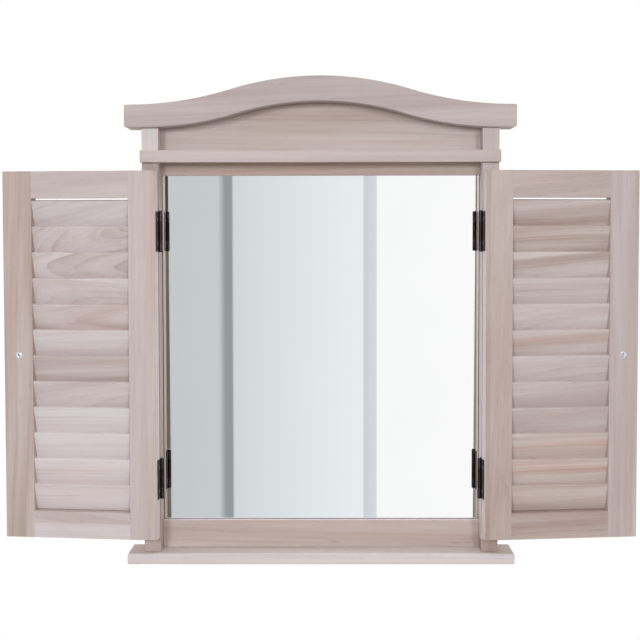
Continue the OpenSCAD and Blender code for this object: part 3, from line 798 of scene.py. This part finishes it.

# %% [markdown]
# ## The shutters' stiles and rails
# Eight boards more, done the same way but in each leaf's own square frame. Their tones differ,
# as the real boards' do. A stile's edge at the hinges is paler than its face. This is painted
# light, so that the edge looks as bright as the face. A strip beside it has a colour of its own.

# %% Stiles and rails
LEAF_BOARDS = {
    "left": {
        "hinge_stile": (("z", (0.17, 0.02), (0.012, 0.01), 21.0), (0.49, 0.35, 0.45)),
        "meeting_stile": (("z", (0.06, 0.04), (0.01, 0.03), 22.7), (0.56, 0.7, 0.8)),
        "top_rail": (("x", (0.12, 0.05), (0.08, 0.02), 23.3), (0.42, 0.25, 0.35)),
        "bottom_rail": (("x", (0.05, 0.03), (-0.15, 0.05), 24.9), (0.44, 0.5, 0.7)),
    },
    "right": {
        "hinge_stile": (("z", (0.01, 0.035), (0.03, 0.05), 26.0), (0.53, 0.75, 0.55)),
        "meeting_stile": (("z", (0.15, 0.03), (-0.008, 0.01), 27.7), (0.55, 0.25, 0.5)),
        "top_rail": (("x", (0.06, 0.05), (0.1, 0.02), 28.1), (0.56, 0.5, 0.5)),
        "bottom_rail": (("x", (0.08, 0.02), (0.03, 0.02), 29.5), (0.78, 0.6, 0.9)),
    },
}

LEAF_W, LEAF_T, LEAF_H = 168.4, 16.0, 398.0
HINGE_EDGE_PAINTED_LIGHT = (0.0, 0.6, 0.3)
STRIP_W = 4.8 * MM
STRIP_WOOD = {"left": (0.50, 0.9, 0.4), "right": (0.70, 0.45, 0.4)}

for side, boards in LEAF_BOARDS.items():
    square = leaf_frame(side)
    corners = [(0, 0, 0), (REACH[side] * LEAF_W * MM, LEAF_T * MM, LEAF_H * MM)]
    outline = [[pick(c[i] for c in corners) for i in range(3)] for pick in (min, max)]
    for part, (grain, board) in boards.items():
        node = f"{side}_{part}"
        joint = joint_plane(node)
        if part == "hinge_stile":
            joint = (square @ Vector((REACH[side] * STRIP_W, 0, 0)), square.to_3x3() @ Vector((1, 0, 0)))
        mesh = eased_mesh(node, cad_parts[node].data, 0.7 * MM, square, joint=joint, whole=outline)
        lay_grain(mesh, square, grain, board)
        cut_part(mesh, node, square)
        if part == "hinge_stile":
            from_edge = np.abs(points_of(mesh, square)[:, 0])
            lay_grain(mesh, square, grain, STRIP_WOOD[side], where=from_edge < STRIP_W)
            # Painted light: the edge at the hinges is made pale, to look as bright as the face.
            lay_grain(mesh, square, grain, HINGE_EDGE_PAINTED_LIGHT, where=from_edge < HAIR / 5)
        put_in_place("eased_" + node, mesh, side + "_shutter", FRAME_WOOD, node)

# %% [markdown]
# ## Geometry Nodes
# What repeats, or follows a rule, is grown by a tree of geometry nodes with named inputs. This
# starts such a tree and runs it: a mesh goes in on a holder object, the modifier's inputs are set
# by each socket's identifier before anything is worked out, and a plain mesh comes back.

# %% Helpers for geometry trees
GEOMETRY, MATERIAL, WHOLE = "NodeSocketGeometry", "NodeSocketMaterial", "NodeSocketInt"


def geometry_tree(name, numbers, others=()):
    geometry = [("Geometry", GEOMETRY)]
    inputs = geometry + [(title, FLOAT) for title in numbers] + [*others, ("Material", MATERIAL)]
    return new_group(name, inputs, geometry, "GeometryNodeTree")


def in_metres(sizes):
    return {title: size * MM for title, size in sizes.items()}


def geo(kind, inputs, **settings):
    return first(tree_of(*inputs.values()), "GeometryNode" + kind, inputs, **settings)


def moved(geometry, **how):
    return geo("Transform", {0: geometry, **how})


def lowered(geometry, drop):
    return moved(geometry, Translation=vector(z=times(drop, -1.0)))


def cone(sides, top, bottom, depth):
    return geo("MeshCone", {"Vertices": sides, "Radius Top": top, "Radius Bottom": bottom, "Depth": depth})


def cylinder(sides, radius, depth):
    return geo("MeshCylinder", {"Vertices": sides, "Radius": radius, "Depth": depth})


def read(tree, name):
    return first(tree, "GeometryNodeInputNamedAttribute", {"Name": name}, data_type="FLOAT_VECTOR")


def store(geometry, name, value):
    inputs = {0: geometry, "Name": name, "Value": value}
    return geo("StoreNamedAttribute", inputs, data_type="FLOAT_VECTOR", domain="POINT")


def grow(tree, seed, values):
    holder = in_scene("holder", seed)
    modifier = holder.modifiers.new("grow", "NODES")
    modifier.node_group = tree
    for item in tree.interface.items_tree:
        if item.item_type == "SOCKET" and item.in_out == "INPUT" and item.name in values:
            modifier[item.identifier] = values[item.name]
    return plain_mesh(holder)


def seed_points(points, **vectors):
    mesh = bpy.data.meshes.new("seed")
    mesh.from_pydata([tuple(p) for p in points], [], [])
    for name, values in vectors.items():
        set_vectors(mesh, name, values)
    return mesh


def closed_off(geometry, material, *spare):
    geometry = geo("RealizeInstances", {0: geometry})
    for name in spare:
        geometry = geo("RemoveAttribute", {0: geometry, "Name": name})
    smooth = geo("SetShadeSmooth", {0: geometry})
    clothed = geo("SetMaterial", {0: smooth, "Material": material})
    put(clothed.id_data, "NodeGroupOutput", {0: clothed})


# %% [markdown]
# ## The crown
# The crown is the main piece whose shape follows a rule. Each of its two long edges is level at
# the ends and swells to the middle: a hollow arc, then a rounded crest, which meet where both
# have the same slope. That fixes both radii from the length of the run, its rise, and the share
# the crest takes. Here that rule is a group of its own, used once for the upper edge and once for
# the lower one, so the two stay alike if the sizes change.

# %% Rule for one edge
def half_chord(radius, aside):
    return root(larger(minus(times(radius, radius), times(aside, aside)), 0.0))


RULE_INPUTS = ("From Middle", "Run", "Rise", "Crest Share")
edge_rule, given = new_group(
    "crown_edge", [(title, FLOAT) for title in RULE_INPUTS], [("Height", FLOAT)], "GeometryNodeTree"
)
from_middle, run, rise, crest_share = (given[title] for title in RULE_INPUTS)

steep = times(arctangent(divide(rise, run)), 2.0)
both_radii = divide(run, sine(steep))
crest_r = times(both_radii, crest_share)
flank_r = minus(both_radii, crest_r)
crest = plus(minus(rise, crest_r), half_chord(crest_r, from_middle))
to_end = larger(minus(run, from_middle), 0.0)
flank = minus(flank_r, half_chord(flank_r, to_end))
beyond = exceeds(from_middle, times(run, crest_share))
swollen = first(edge_rule, "ShaderNodeMix", {0: beyond, 2: crest, 3: flank})
put(edge_rule, "NodeGroupOutput", {0: swollen})
print("edge rule:", len(edge_rule.nodes), "nodes")

# %% [markdown]
# The crown itself starts as a strip of quads, two rows of points deep. The strip's points are
# crowded towards the ends by a sine, because the small rounded corners are there. Its rows are
# moved to the two edges, the strip is drawn forwards, and the countersunk holes for the four
# screws are cut last. Its edges are eased only round the outlines of its front and back. Its
# underside is coloured darker towards the back, between the posts. This is painted shade, for a
# darker band under its lower edge than these lamps leave. The whole crown is also coloured darker
# towards its middle.

# %% Crown
CROWN_NUMBERS = (
    "Width", "Depth", "End Height", "Underside", "Upper Run", "Upper Rise", "Lower Run", "Lower Rise",
    "Crest Share", "Corner Radius", "Screw Across", "Screw Near", "Screw Far", "Head Diameter", "Head Height",
)
crown_tree, given = geometry_tree("crown", CROWN_NUMBERS)
corner_r = given["Corner Radius"]
grid = {"Size X": 2.0, "Size Y": 2.0, "Vertices X": 181, "Vertices Y": 2}
strip = first(crown_tree, "GeometryNodeMeshGrid", grid)
at = split(first(crown_tree, "GeometryNodeInputPosition"))
half_width = times(given["Width"], 0.5)
x = times(half_width, sine(times(at[0], math.pi / 2)))
from_middle = absolute(x)


def edge_height(edge):
    given_to_rule = (from_middle, given[edge + " Run"], given[edge + " Rise"], given["Crest Share"])
    return use_group(crown_tree, edge_rule, dict(zip(RULE_INPUTS, given_to_rule)), "GeometryNodeGroup")[0]


inside = larger(minus(corner_r, minus(half_width, from_middle)), 0.0)
corner = minus(corner_r, half_chord(corner_r, inside))
upper = minus(plus(edge_height("Upper"), given["End Height"]), corner)
lower = plus(edge_height("Lower"), corner)
is_upper = exceeds(at[1], 0.0)
z = plus(first(crown_tree, "ShaderNodeMix", {0: is_upper, 2: lower, 3: upper}), given["Underside"])
shaped = geo("SetPosition", {0: strip, "Position": vector(x, 0.0, z)})
draw = {0: shaped, "Offset": (0, -1, 0), "Offset Scale": given["Depth"], "Individual": False}
forwards = geo("ExtrudeMesh", draw, mode="FACES")
back = geo("FlipFaces", {0: shaped})
solid = geo("MergeByDistance", {0: geo("JoinGeometry", {0: [forwards, back]}), "Distance": 1e-6})

# %% Screw holes in the crown
WELL_DEPTH = 0.006
head_r = times(given["Head Diameter"], 0.5)
sink = cone(40, head_r, times(head_r, 0.5), given["Head Height"])
well = cylinder(40, head_r, WELL_DEPTH)
well = moved(well, Translation=vector(z=plus(given["Head Height"], WELL_DEPTH / 2)))
drill = geo("MeshBoolean", {1: [sink, well]}, operation="UNION")
across = times(given["Screw Across"], 2.0)
apart = minus(given["Screw Far"], given["Screw Near"])
places = geo("MeshGrid", {"Size X": across, "Size Y": apart, "Vertices X": 2, "Vertices Y": 2})
middle_y = times(plus(given["Screw Near"], given["Screw Far"]), -0.5)
foot_z = minus(plus(given["Underside"], given["End Height"]), given["Head Height"])
places = moved(places, Translation=vector(y=middle_y, z=foot_z))
drills = geo("RealizeInstances", {0: geo("InstanceOnPoints", {"Points": places, "Instance": drill})})
closed_off(geo("MeshBoolean", {0: solid, 1: [drills]}, operation="DIFFERENCE"), given["Material"])

# %% The crown at its sizes
CROWN_SIZES = {
    "Width": 420, "Depth": 50, "End Height": 24.2, "Underside": 471.3 + SILL_Z / MM, "Upper Run": 205,
    "Upper Rise": 30.5, "Lower Run": 190, "Lower Rise": 28, "Corner Radius": 2.5,
    "Screw Across": 183.5, "Screw Near": 16, "Screw Far": 32, "Head Diameter": 7.04, "Head Height": 2.6,
}
DIM_ALL_OVER = (0, 0.1, 0.2), (0.17, 0.1, 0.05)
PAINTED_SHADE_DIM = (0, 0.16, 0.18), (0.6, 0.5, 0.0)

crown_values = in_metres(CROWN_SIZES) | {"Crest Share": 0.47, "Material": planed_wood}
mesh = grow(crown_tree, bpy.data.meshes.new("seed"), crown_values)
mesh = eased_mesh("crown", mesh, 0.7 * MM, walls="y", needed=1)
lay_grain(mesh, WALL_FRAME, ("x", (0.09, 0.06), (-0.035, 0.0), 10.2), (0.49, 0.1, 0.4))
points = points_of(mesh)
aside = np.abs(points[:, 0])
darker = np.interp(aside, *DIM_ALL_OVER)
# Painted shade: points on the underside behind the front edge are darkened, most between the posts.
faces_down = np.array([v.normal.z for v in mesh.vertices]) < -0.3
behind_front_edge = points[:, 1] > -49 * MM
painted_shade_points = faces_down & behind_front_edge
darker[painted_shade_points] = np.interp(aside, *PAINTED_SHADE_DIM)[painted_shade_points]
set_dim(mesh, darker)
put_in_place("swept_crown", mesh, "frame", FRAME_WOOD, "crown")
print("crown faces:", len(mesh.polygons), "top", round(max(v.co.z for v in mesh.vertices), 4))

# %% [markdown]
# ## The slats
# Twelve slats fill each leaf. They are one shape at twelve places, so one tree makes the shape
# and puts it on twelve points. Each point carries its slat's own board, and the tree works out
# the grain from the slat's shape before it is tilted. Some neighbouring slats look cut from one
# board, so some of the boards below come back, each time from a place further along.

# %% Slat tree
slat_tree, given = geometry_tree("slats", ("Length", "Width", "Thickness", "Rounding", "Tilt"))
half = times(given["Length"], 0.5)
run = geo("CurvePrimitiveLine", {"Start": vector(x=times(half, -1.0)), "End": vector(x=half)})
section = geo("CurvePrimitiveQuadrilateral", {"Width": given["Thickness"], "Height": given["Width"]})
rounding = {"Curve": section, "Radius": given["Rounding"], "Count": 5, "Limit Radius": True}
section = geo("FilletCurve", rounding, mode="POLY")
slat = geo("CurveToMesh", {"Curve": run, "Profile Curve": section, "Fill Caps": True})
slat = store(slat, "own_place", first(slat_tree, "GeometryNodeInputPosition"))
lean = vector(x=times(given["Tilt"], -1.0))
rows = geo("InstanceOnPoints", {"Points": given["Geometry"], "Instance": slat, "Rotation": lean})
rows = geo("RealizeInstances", {0: rows})

# %% Grain on each slat
own = split(read(slat_tree, "own_place"))
laid = vector_calc("ADD", vector(own[0], own[2], own[1]), read(slat_tree, "heart"))
laid = vector_calc("ADD", laid, scaled(read(slat_tree, "drift"), own[0]))
closed_off(store(rows, "grain_at", laid), given["Material"], "own_place", "heart", "drift")
print("slat tree:", len(slat_tree.nodes), "nodes")

# %% [markdown]
# A slat's place comes from the same sizes as in the CAD model: they share the height between the
# rails, each laps 2 mm over the next, and the tilt is the one at which a slat 4.5 mm thick just
# fills its rise and the leaf's depth. That tilt has no plain formula, so it is found by trying
# again from the last answer until it settles.

# %% Slat sizes
SLATS = 12
SLAT_T, SLAT_LAP, SLAT_MARGIN = 4.5, 2.0, 0.75
HINGE_STILE_W, MEETING_STILE_W = 29.0, 32.0
LOUVRE_Z, LOUVRE_H, TOP_GAP, LOW_GAP = 29.2, 339.6, 1.6, 0.4
IN_SLOT = 4.8

pitch = (LOUVRE_H - TOP_GAP - LOW_GAP - SLAT_LAP) / SLATS
rise, deep = pitch + SLAT_LAP, LEAF_T - 2 * SLAT_MARGIN
tilt = math.radians(20)
for _ in range(20):
    tilt = math.acos(SLAT_T * math.cos(2 * tilt) / math.hypot(rise, deep)) - math.atan2(rise, deep)
slat_w = (rise - SLAT_T * math.sin(tilt)) / math.cos(tilt)
slat_from, slat_to = HINGE_STILE_W - IN_SLOT, LEAF_W - MEETING_STILE_W + IN_SLOT
print("slat tilt", round(math.degrees(tilt), 2), "width", round(slat_w, 2), "pitch", pitch)

# %% [markdown]
# The boards for the slats, from the top down: which board, and what shows on it. `arched` wood
# has its heart close behind the face, `striped` wood has it far to one side, and `plain` wood
# lies between, with little to see.

# %% Slats for both leaves
STRIPED, PLAIN, ARCHED, SLANTED = (0.10, 0.02), (0.05, 0.08), (0.0, 0.016), (0.02, 0.03)
SLAT_BOARDS = {
    "left": [
        #  heart, drift, start, (tone, warmth, figure)
        (SLANTED, (0.18, 0.06), 31.0, (0.21, 0.1, 0.45)),
        (ARCHED, (0.30, 0.25), 32.3, (0.29, 0.35, 0.9)),
        (ARCHED, (0.02, 0.16), 33.1, (0.37, 0.5, 1.0)),
        (SLANTED, (-0.25, 0.2), 34.6, (0.09, 0.35, 0.8)),
        (ARCHED, (0.05, 0.10), 35.2, (0.19, 0.6, 0.8)),
        (PLAIN, (0.02, 0.02), 36.9, (0.15, 0.3, 0.3)),
        (STRIPED, (0.05, 0.02), 37.4, (0.41, 0.4, 0.7)),
        (SLANTED, (0.10, 0.08), 38.8, (0.25, 0.45, 0.5)),
        (STRIPED, (0.015, 0.02), 40.0, (0.05, 0.4, 0.6)),
        (STRIPED, (0.015, 0.02), 40.3, (0.05, 0.4, 0.6)),
        (STRIPED, (0.015, 0.02), 40.6, (0.01, 0.4, 0.6)),
        (STRIPED, (0.015, 0.02), 40.9, (0.07, 0.5, 0.6)),
    ],
    "right": [
        (STRIPED, (0.06, 0.02), 42.0, (0.45, 0.6, 1.0)),
        (STRIPED, (0.03, 0.02), 42.3, (0.48, 0.7, 1.0)),
        (STRIPED, (0.09, 0.03), 42.6, (0.45, 0.6, 1.0)),
        (STRIPED, (0.02, 0.02), 43.3, (0.26, 0.4, 0.7)),
        (SLANTED, (0.03, 0.05), 44.1, (0.29, 0.3, 0.5)),
        (STRIPED, (0.08, 0.02), 45.7, (0.39, 0.6, 0.8)),
        (SLANTED, (0.05, 0.06), 46.4, (0.30, 0.35, 0.6)),
        (PLAIN, (0.05, 0.04), 47.2, (0.39, 0.35, 0.5)),
        (PLAIN, (0.03, 0.05), 48.8, (0.42, 0.35, 0.5)),
        (STRIPED, (0.02, 0.01), 50.0, (0.33, 1.0, 0.9)),
        (STRIPED, (0.02, 0.01), 50.3, (0.33, 1.0, 0.9)),
        (STRIPED, (0.02, 0.01), 50.6, (0.53, 1.0, 0.9)),
    ],
}

slat_sizes = {"Length": slat_to - slat_from, "Width": slat_w, "Thickness": SLAT_T, "Rounding": 0.9}
slat_values = in_metres(slat_sizes) | {"Tilt": tilt, "Material": slat_wood}
middle_x, top_z = (slat_from + slat_to) / 2, LOUVRE_Z + LOUVRE_H - TOP_GAP - rise / 2

for side, boards in SLAT_BOARDS.items():
    middle = Vector((REACH[side] * middle_x, LEAF_T / 2, top_z))
    spots = [(middle - Vector((0, 0, i * pitch))) * MM for i in range(SLATS)]
    seed = seed_points(
        spots,
        heart=[(start, *heart) for heart, _, start, _ in boards],
        drift=[(0, *drift) for _, drift, _, _ in boards],
        board=[board for _, _, _, board in boards],
    )
    mesh = grow(slat_tree, seed, slat_values)
    mesh.transform(leaf_frame(side))
    nodes = [f"{side}_slat_{i + 1:02d}" for i in range(SLATS)]
    put_in_place(side + "_slats", mesh, side + "_shutter", SLAT_WOOD, *nodes)
    print(side, "slats, faces:", len(mesh.polygons), "attributes:", [a.name for a in mesh.attributes])

# %% [markdown]
# ## Screws
# Every screw is countersunk with a cross recess: only sizes differ, so one tree makes them all.
# The recess is two thin blades that narrow as they go down, cut from the head. Each point of the
# seed has a direction that the head faces, and a fixed seed turns every cross by its own amount,
# as no one lines them up.

# %% Screw tree
SCREW_NUMBERS = (
    "Shank Diameter", "Length", "Head Diameter", "Head Height", "Cross Length", "Cross Width",
    "Turn", "Spread",
)
screw_tree, given = geometry_tree("screws", SCREW_NUMBERS, [("Seed", WHOLE)])
RECESS_DEPTH, RECESS_TAPER, TIP_LENGTH, TIP_R = 0.75, 0.45, 1.2, 0.0002
head_h, cross_l = given["Head Height"], given["Cross Length"]
head_r = times(given["Head Diameter"], 0.5)
shank_r = times(given["Shank Diameter"], 0.5)
head = lowered(cone(40, head_r, shank_r, head_h), head_h)
blade_r = times(cross_l, math.sqrt(0.5))
sink = times(head_h, RECESS_DEPTH)
blade = lowered(cone(4, blade_r, times(blade_r, RECESS_TAPER), sink), sink)
blade = moved(blade, Rotation=(0, 0, math.pi / 4))
thin = vector(1.0, divide(given["Cross Width"], cross_l), 1.0)
blade = moved(blade, Scale=thin, Translation=(0, 0, 0.00001))
other = moved(blade, Rotation=(0, 0, math.pi / 2))
cut = geo("MeshBoolean", {0: head, 1: [blade, other]}, operation="DIFFERENCE")

# %% Shanks, and a screw on each point
tip_l = times(given["Shank Diameter"], TIP_LENGTH)
body_l = minus(minus(given["Length"], head_h), tip_l)
shank = lowered(cylinder(20, shank_r, body_l), times_plus(body_l, 0.5, head_h))
tip = lowered(cone(20, shank_r, TIP_R, tip_l), given["Length"])
screw = geo("JoinGeometry", {0: [cut, shank, tip]})
faces = {"Vector": read(screw_tree, "faces")}
facing = first(screw_tree, "FunctionNodeAlignRotationToVector", faces, axis="Z")
screws = geo("InstanceOnPoints", {"Points": given["Geometry"], "Instance": screw, "Rotation": facing})
chances = {2: times(given["Spread"], -1.0), 3: given["Spread"], "Seed": given["Seed"]}
chance = put(screw_tree, "FunctionNodeRandomValue", chances, data_type="FLOAT").outputs[1]
twist = vector(z=plus(given["Turn"], chance))
screws = geo("RotateInstances", {0: screws, "Rotation": twist, "Local Space": True})
closed_off(screws, given["Material"], "faces")
print("screw tree:", len(screw_tree.nodes), "nodes")

# %% [markdown]
# Each set of screws stands for its CAD node. Places are in millimetres, on the frame above
# SILL_Z and on a leaf in its square frame. A screw's size is its shank, its length, and its
# head's width and height.

# %% Screw sets
SILL_UNDERSIDE, CROWN_TOP = -1.3, 495.5
HANGER_X, HANGER_Z = 182.5, 458
POST_X, POST_DEPTHS = 183.5, (16, 32)
HINGE_Z, LEAF_FOOT = (92, 360), 27
KNOB_X, KNOB_Z = LEAF_W - MEETING_STILE_W / 2, 199
POST_LEAF_X, POST_LEAF_Y, EDGE_LEAF_Y = 173.5, -34.65, 5.35
PLATE_GAPS, LEAF_GAPS = (-3.6, 3.6), (-13, 13)
CROWN_SCREW, SILL_SCREW = (3.5, 44.2, 7, 2.6), (3.5, 32.3, 7, 2.6)
HANGER_SCREW, HINGE_SCREW, KNOB_SCREW = (2.6, 10, 5.2, 1.4), (2.4, 12, 4.8, 1.2), (4, 29, 7.2, 2.2)
CROSS_LENGTH, CROSS_WIDTH = 0.62, 0.17
SCATTERED, ONE_WAY = {"Turn": 0.0, "Spread": math.pi}, {"Turn": math.radians(20), "Spread": 0.0}


def screw_set(name, node, spots, faces, size, metal, seed, body="frame", square=None, turns=SCATTERED):
    shank, length, head, head_h = size
    lift = Vector((0, 0, SILL_Z if square is None else 0))
    seed_mesh = seed_points([Vector(p) * MM + lift for p in spots], faces=faces)
    sizes = (shank, length, head, head_h, head * CROSS_LENGTH, head * CROSS_WIDTH)
    values = in_metres(dict(zip(SCREW_NUMBERS, sizes))) | turns | {"Seed": seed, "Material": metal[1]}
    mesh = grow(screw_tree, seed_mesh, values)
    if square is not None:
        mesh.transform(square)
    put_in_place(name, mesh, body, metal, node)
    print(name, len(spots), "screws,", len(mesh.polygons), "faces")


def mirrored(spots):
    return [(side * x, y, z) for side in (-1, 1) for x, y, z in spots]


in_posts = [(POST_X, -y, 0) for y in POST_DEPTHS]
crown_spots = [(x, y, CROWN_TOP) for x, y, _ in mirrored(in_posts)]
sill_spots = [(x, y, SILL_UNDERSIDE) for x, y, _ in [*mirrored(in_posts), (0, -7.5, 0)]]
hanger_spots = mirrored([(HANGER_X, 0, HANGER_Z + dz) for dz in PLATE_GAPS])
hinge_heights = [z + dz for z in HINGE_Z for dz in LEAF_GAPS]
post_spots = mirrored([(POST_LEAF_X, POST_LEAF_Y, z) for z in hinge_heights])
post_faces = mirrored([(-1, 0, 0)] * 4)
screw_set("crown_screws", "frame_screws", crown_spots, [(0, 0, 1)] * 4, CROWN_SCREW, ZINC, 3)
screw_set("sill_screws", "frame_screws", sill_spots, [(0, 0, -1)] * 5, SILL_SCREW, ZINC, 4)
screw_set("plate_screws", "hanger_screws", hanger_spots, [(0, 1, 0)] * 4, HANGER_SCREW, ZINC, 5)
screw_set("post_leaf_screws", "frame_leaf_screws", post_spots, post_faces, HINGE_SCREW, BRIGHT, 6)
for side, way in REACH.items():
    place = {"body": side + "_shutter", "square": leaf_frame(side)}
    spots = [(-way, EDGE_LEAF_Y, z - LEAF_FOOT) for z in hinge_heights]
    node = side + "_leaf_screws"
    screw_set(side + "_edge_screws", node, spots, [(-way, 0, 0)] * 4, HINGE_SCREW, BRIGHT, 7, **place)
    spots, node = [(way * KNOB_X, LEAF_T, KNOB_Z)], side + "_knob_screw"
    screw_set(side + "_stile_screw", node, spots, [(0, 1, 0)], KNOB_SCREW, ZINC, 1, turns=ONE_WAY, **place)

# %% [markdown]
# ## Knobs
# A turned knob is a profile swept round an axis. The CAD model has it as a few straight steps;
# on the real one a gouge leaves smooth hollows. A smooth curve through a few points of the
# profile gives that, and the points are spun into rings by hand, which keeps the faces even.

# %% Turned knobs
KNOB_R, KNOB_H = 11.0, 20.0
KNOB_PROFILE = [
    (0.72, 0.0), (0.755, 0.02), (0.74, 0.06), (0.63, 0.16), (0.575, 0.30), (0.64, 0.43),
    (0.86, 0.54), (0.975, 0.64), (1.0, 0.73), (0.965, 0.83), (0.83, 0.93), (0.58, 0.985), (0.28, 1.0),
]


def smooth_through(points, steps=4):
    points = [np.array(p, float) for p in points]
    made = [points[0]]
    for before, a, b, after in zip([points[0]] + points, points, points[1:], points[2:] + [points[-1]]):
        for t in (k / steps for k in range(1, steps + 1)):
            bend, twist = 2 * before - 5 * a + 4 * b - after, 3 * a - before - 3 * b + after
            made.append(0.5 * (2 * a + (b - before) * t + bend * t**2 + twist * t**3))
    return made


def turned_knob(around=56):
    profile = smooth_through(KNOB_PROFILE)
    rings = [(max(r, 0.02) * KNOB_R * MM, min(max(h, 0), 1) * KNOB_H * MM) for r, h in profile]
    angles = [2 * math.pi * k / around for k in range(around)]
    bm = bmesh.new()
    loops = [[bm.verts.new((r * math.cos(a), -h, r * math.sin(a))) for a in angles] for r, h in rings]
    for low, high in zip(loops, loops[1:]):
        for k in range(around):
            n = (k + 1) % around
            bm.faces.new((low[k], low[n], high[n], high[k]))
    bm.faces.new(loops[0])
    bm.faces.new(loops[-1])
    bmesh.ops.recalc_face_normals(bm, faces=bm.faces)
    for face in bm.faces:
        face.smooth = len(face.verts) == 4
    return mesh_from(bm, "knob")


for side, way in REACH.items():
    mesh = turned_knob()
    mesh.transform(leaf_frame(side) @ Matrix.Translation((way * KNOB_X * MM, 0, KNOB_Z * MM)))
    lay_grain(mesh, leaf_frame(side), ("y", (0.02, 0.03), (0, 0), 52.0 + way), (0.32, 0.4, 0.6))
    put_in_place(side + "_turned_knob", mesh, side + "_shutter", FRAME_WOOD, side + "_knob")
    print(side, "knob faces:", len(mesh.polygons))

# %% [markdown]
# ## Hinges and plates
# The leaves, pins and plates keep their CAD shape, with every outside edge softened by a hair, as
# stamped and tumbled steel has it. That thin bright line is most of what makes metal look like
# metal.

# %% Eased metal
METAL = {
    #  node: (body, slot and material, easing)
    "left_frame_leaves": ("frame", IRON, 0.18),
    "right_frame_leaves": ("frame", IRON, 0.18),
    "left_shutter_leaves": ("left_shutter", BRONZE, 0.18),
    "right_shutter_leaves": ("right_shutter", BRONZE, 0.18),
    "hinge_pins": ("frame", IRON, 0.2),
    "hanger_plates": ("frame", ZINC, 0.2),
    "glazing_points": ("frame", ZINC, 0.1),
}

for node, (body, finish, width) in METAL.items():
    mesh = eased_mesh(node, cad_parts[node].data, width * MM, needed=0, segments=2)
    put_in_place("eased_" + node, mesh, body, finish, node)

# %% [markdown]
# ## Pieces that stay as they are
# The glass and its backing are flat sheets with nothing to ease that anyone could see, and the
# dowels and pins are hidden in their holes. These keep their CAD shape and take a finish only.
# The dowels need no attribute: their wood is read straight from where they lie.

# %% Hidden wood
dowel_wood, tree = new_material("dowel_wood")
place = vector_calc("ADD", object_place(tree), (60.0, 0.05, 0.6))
shade, rough, height = use_group(tree, timber, {"Place": place, "Board": (0.45, 0.6, 0.4)})
skin({"Base Color": shade, "Roughness": rough})

KEPT = {"mirror_glass": silvered_glass, "backing_board": hardboard}
KEPT.update({"rail_dowels": dowel_wood, "cornice_pins": dowel_wood})
for node, material in KEPT.items():
    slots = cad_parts[node].data.materials
    for i in range(len(slots)):
        slots[i] = material
    print(node, "takes", material.name)
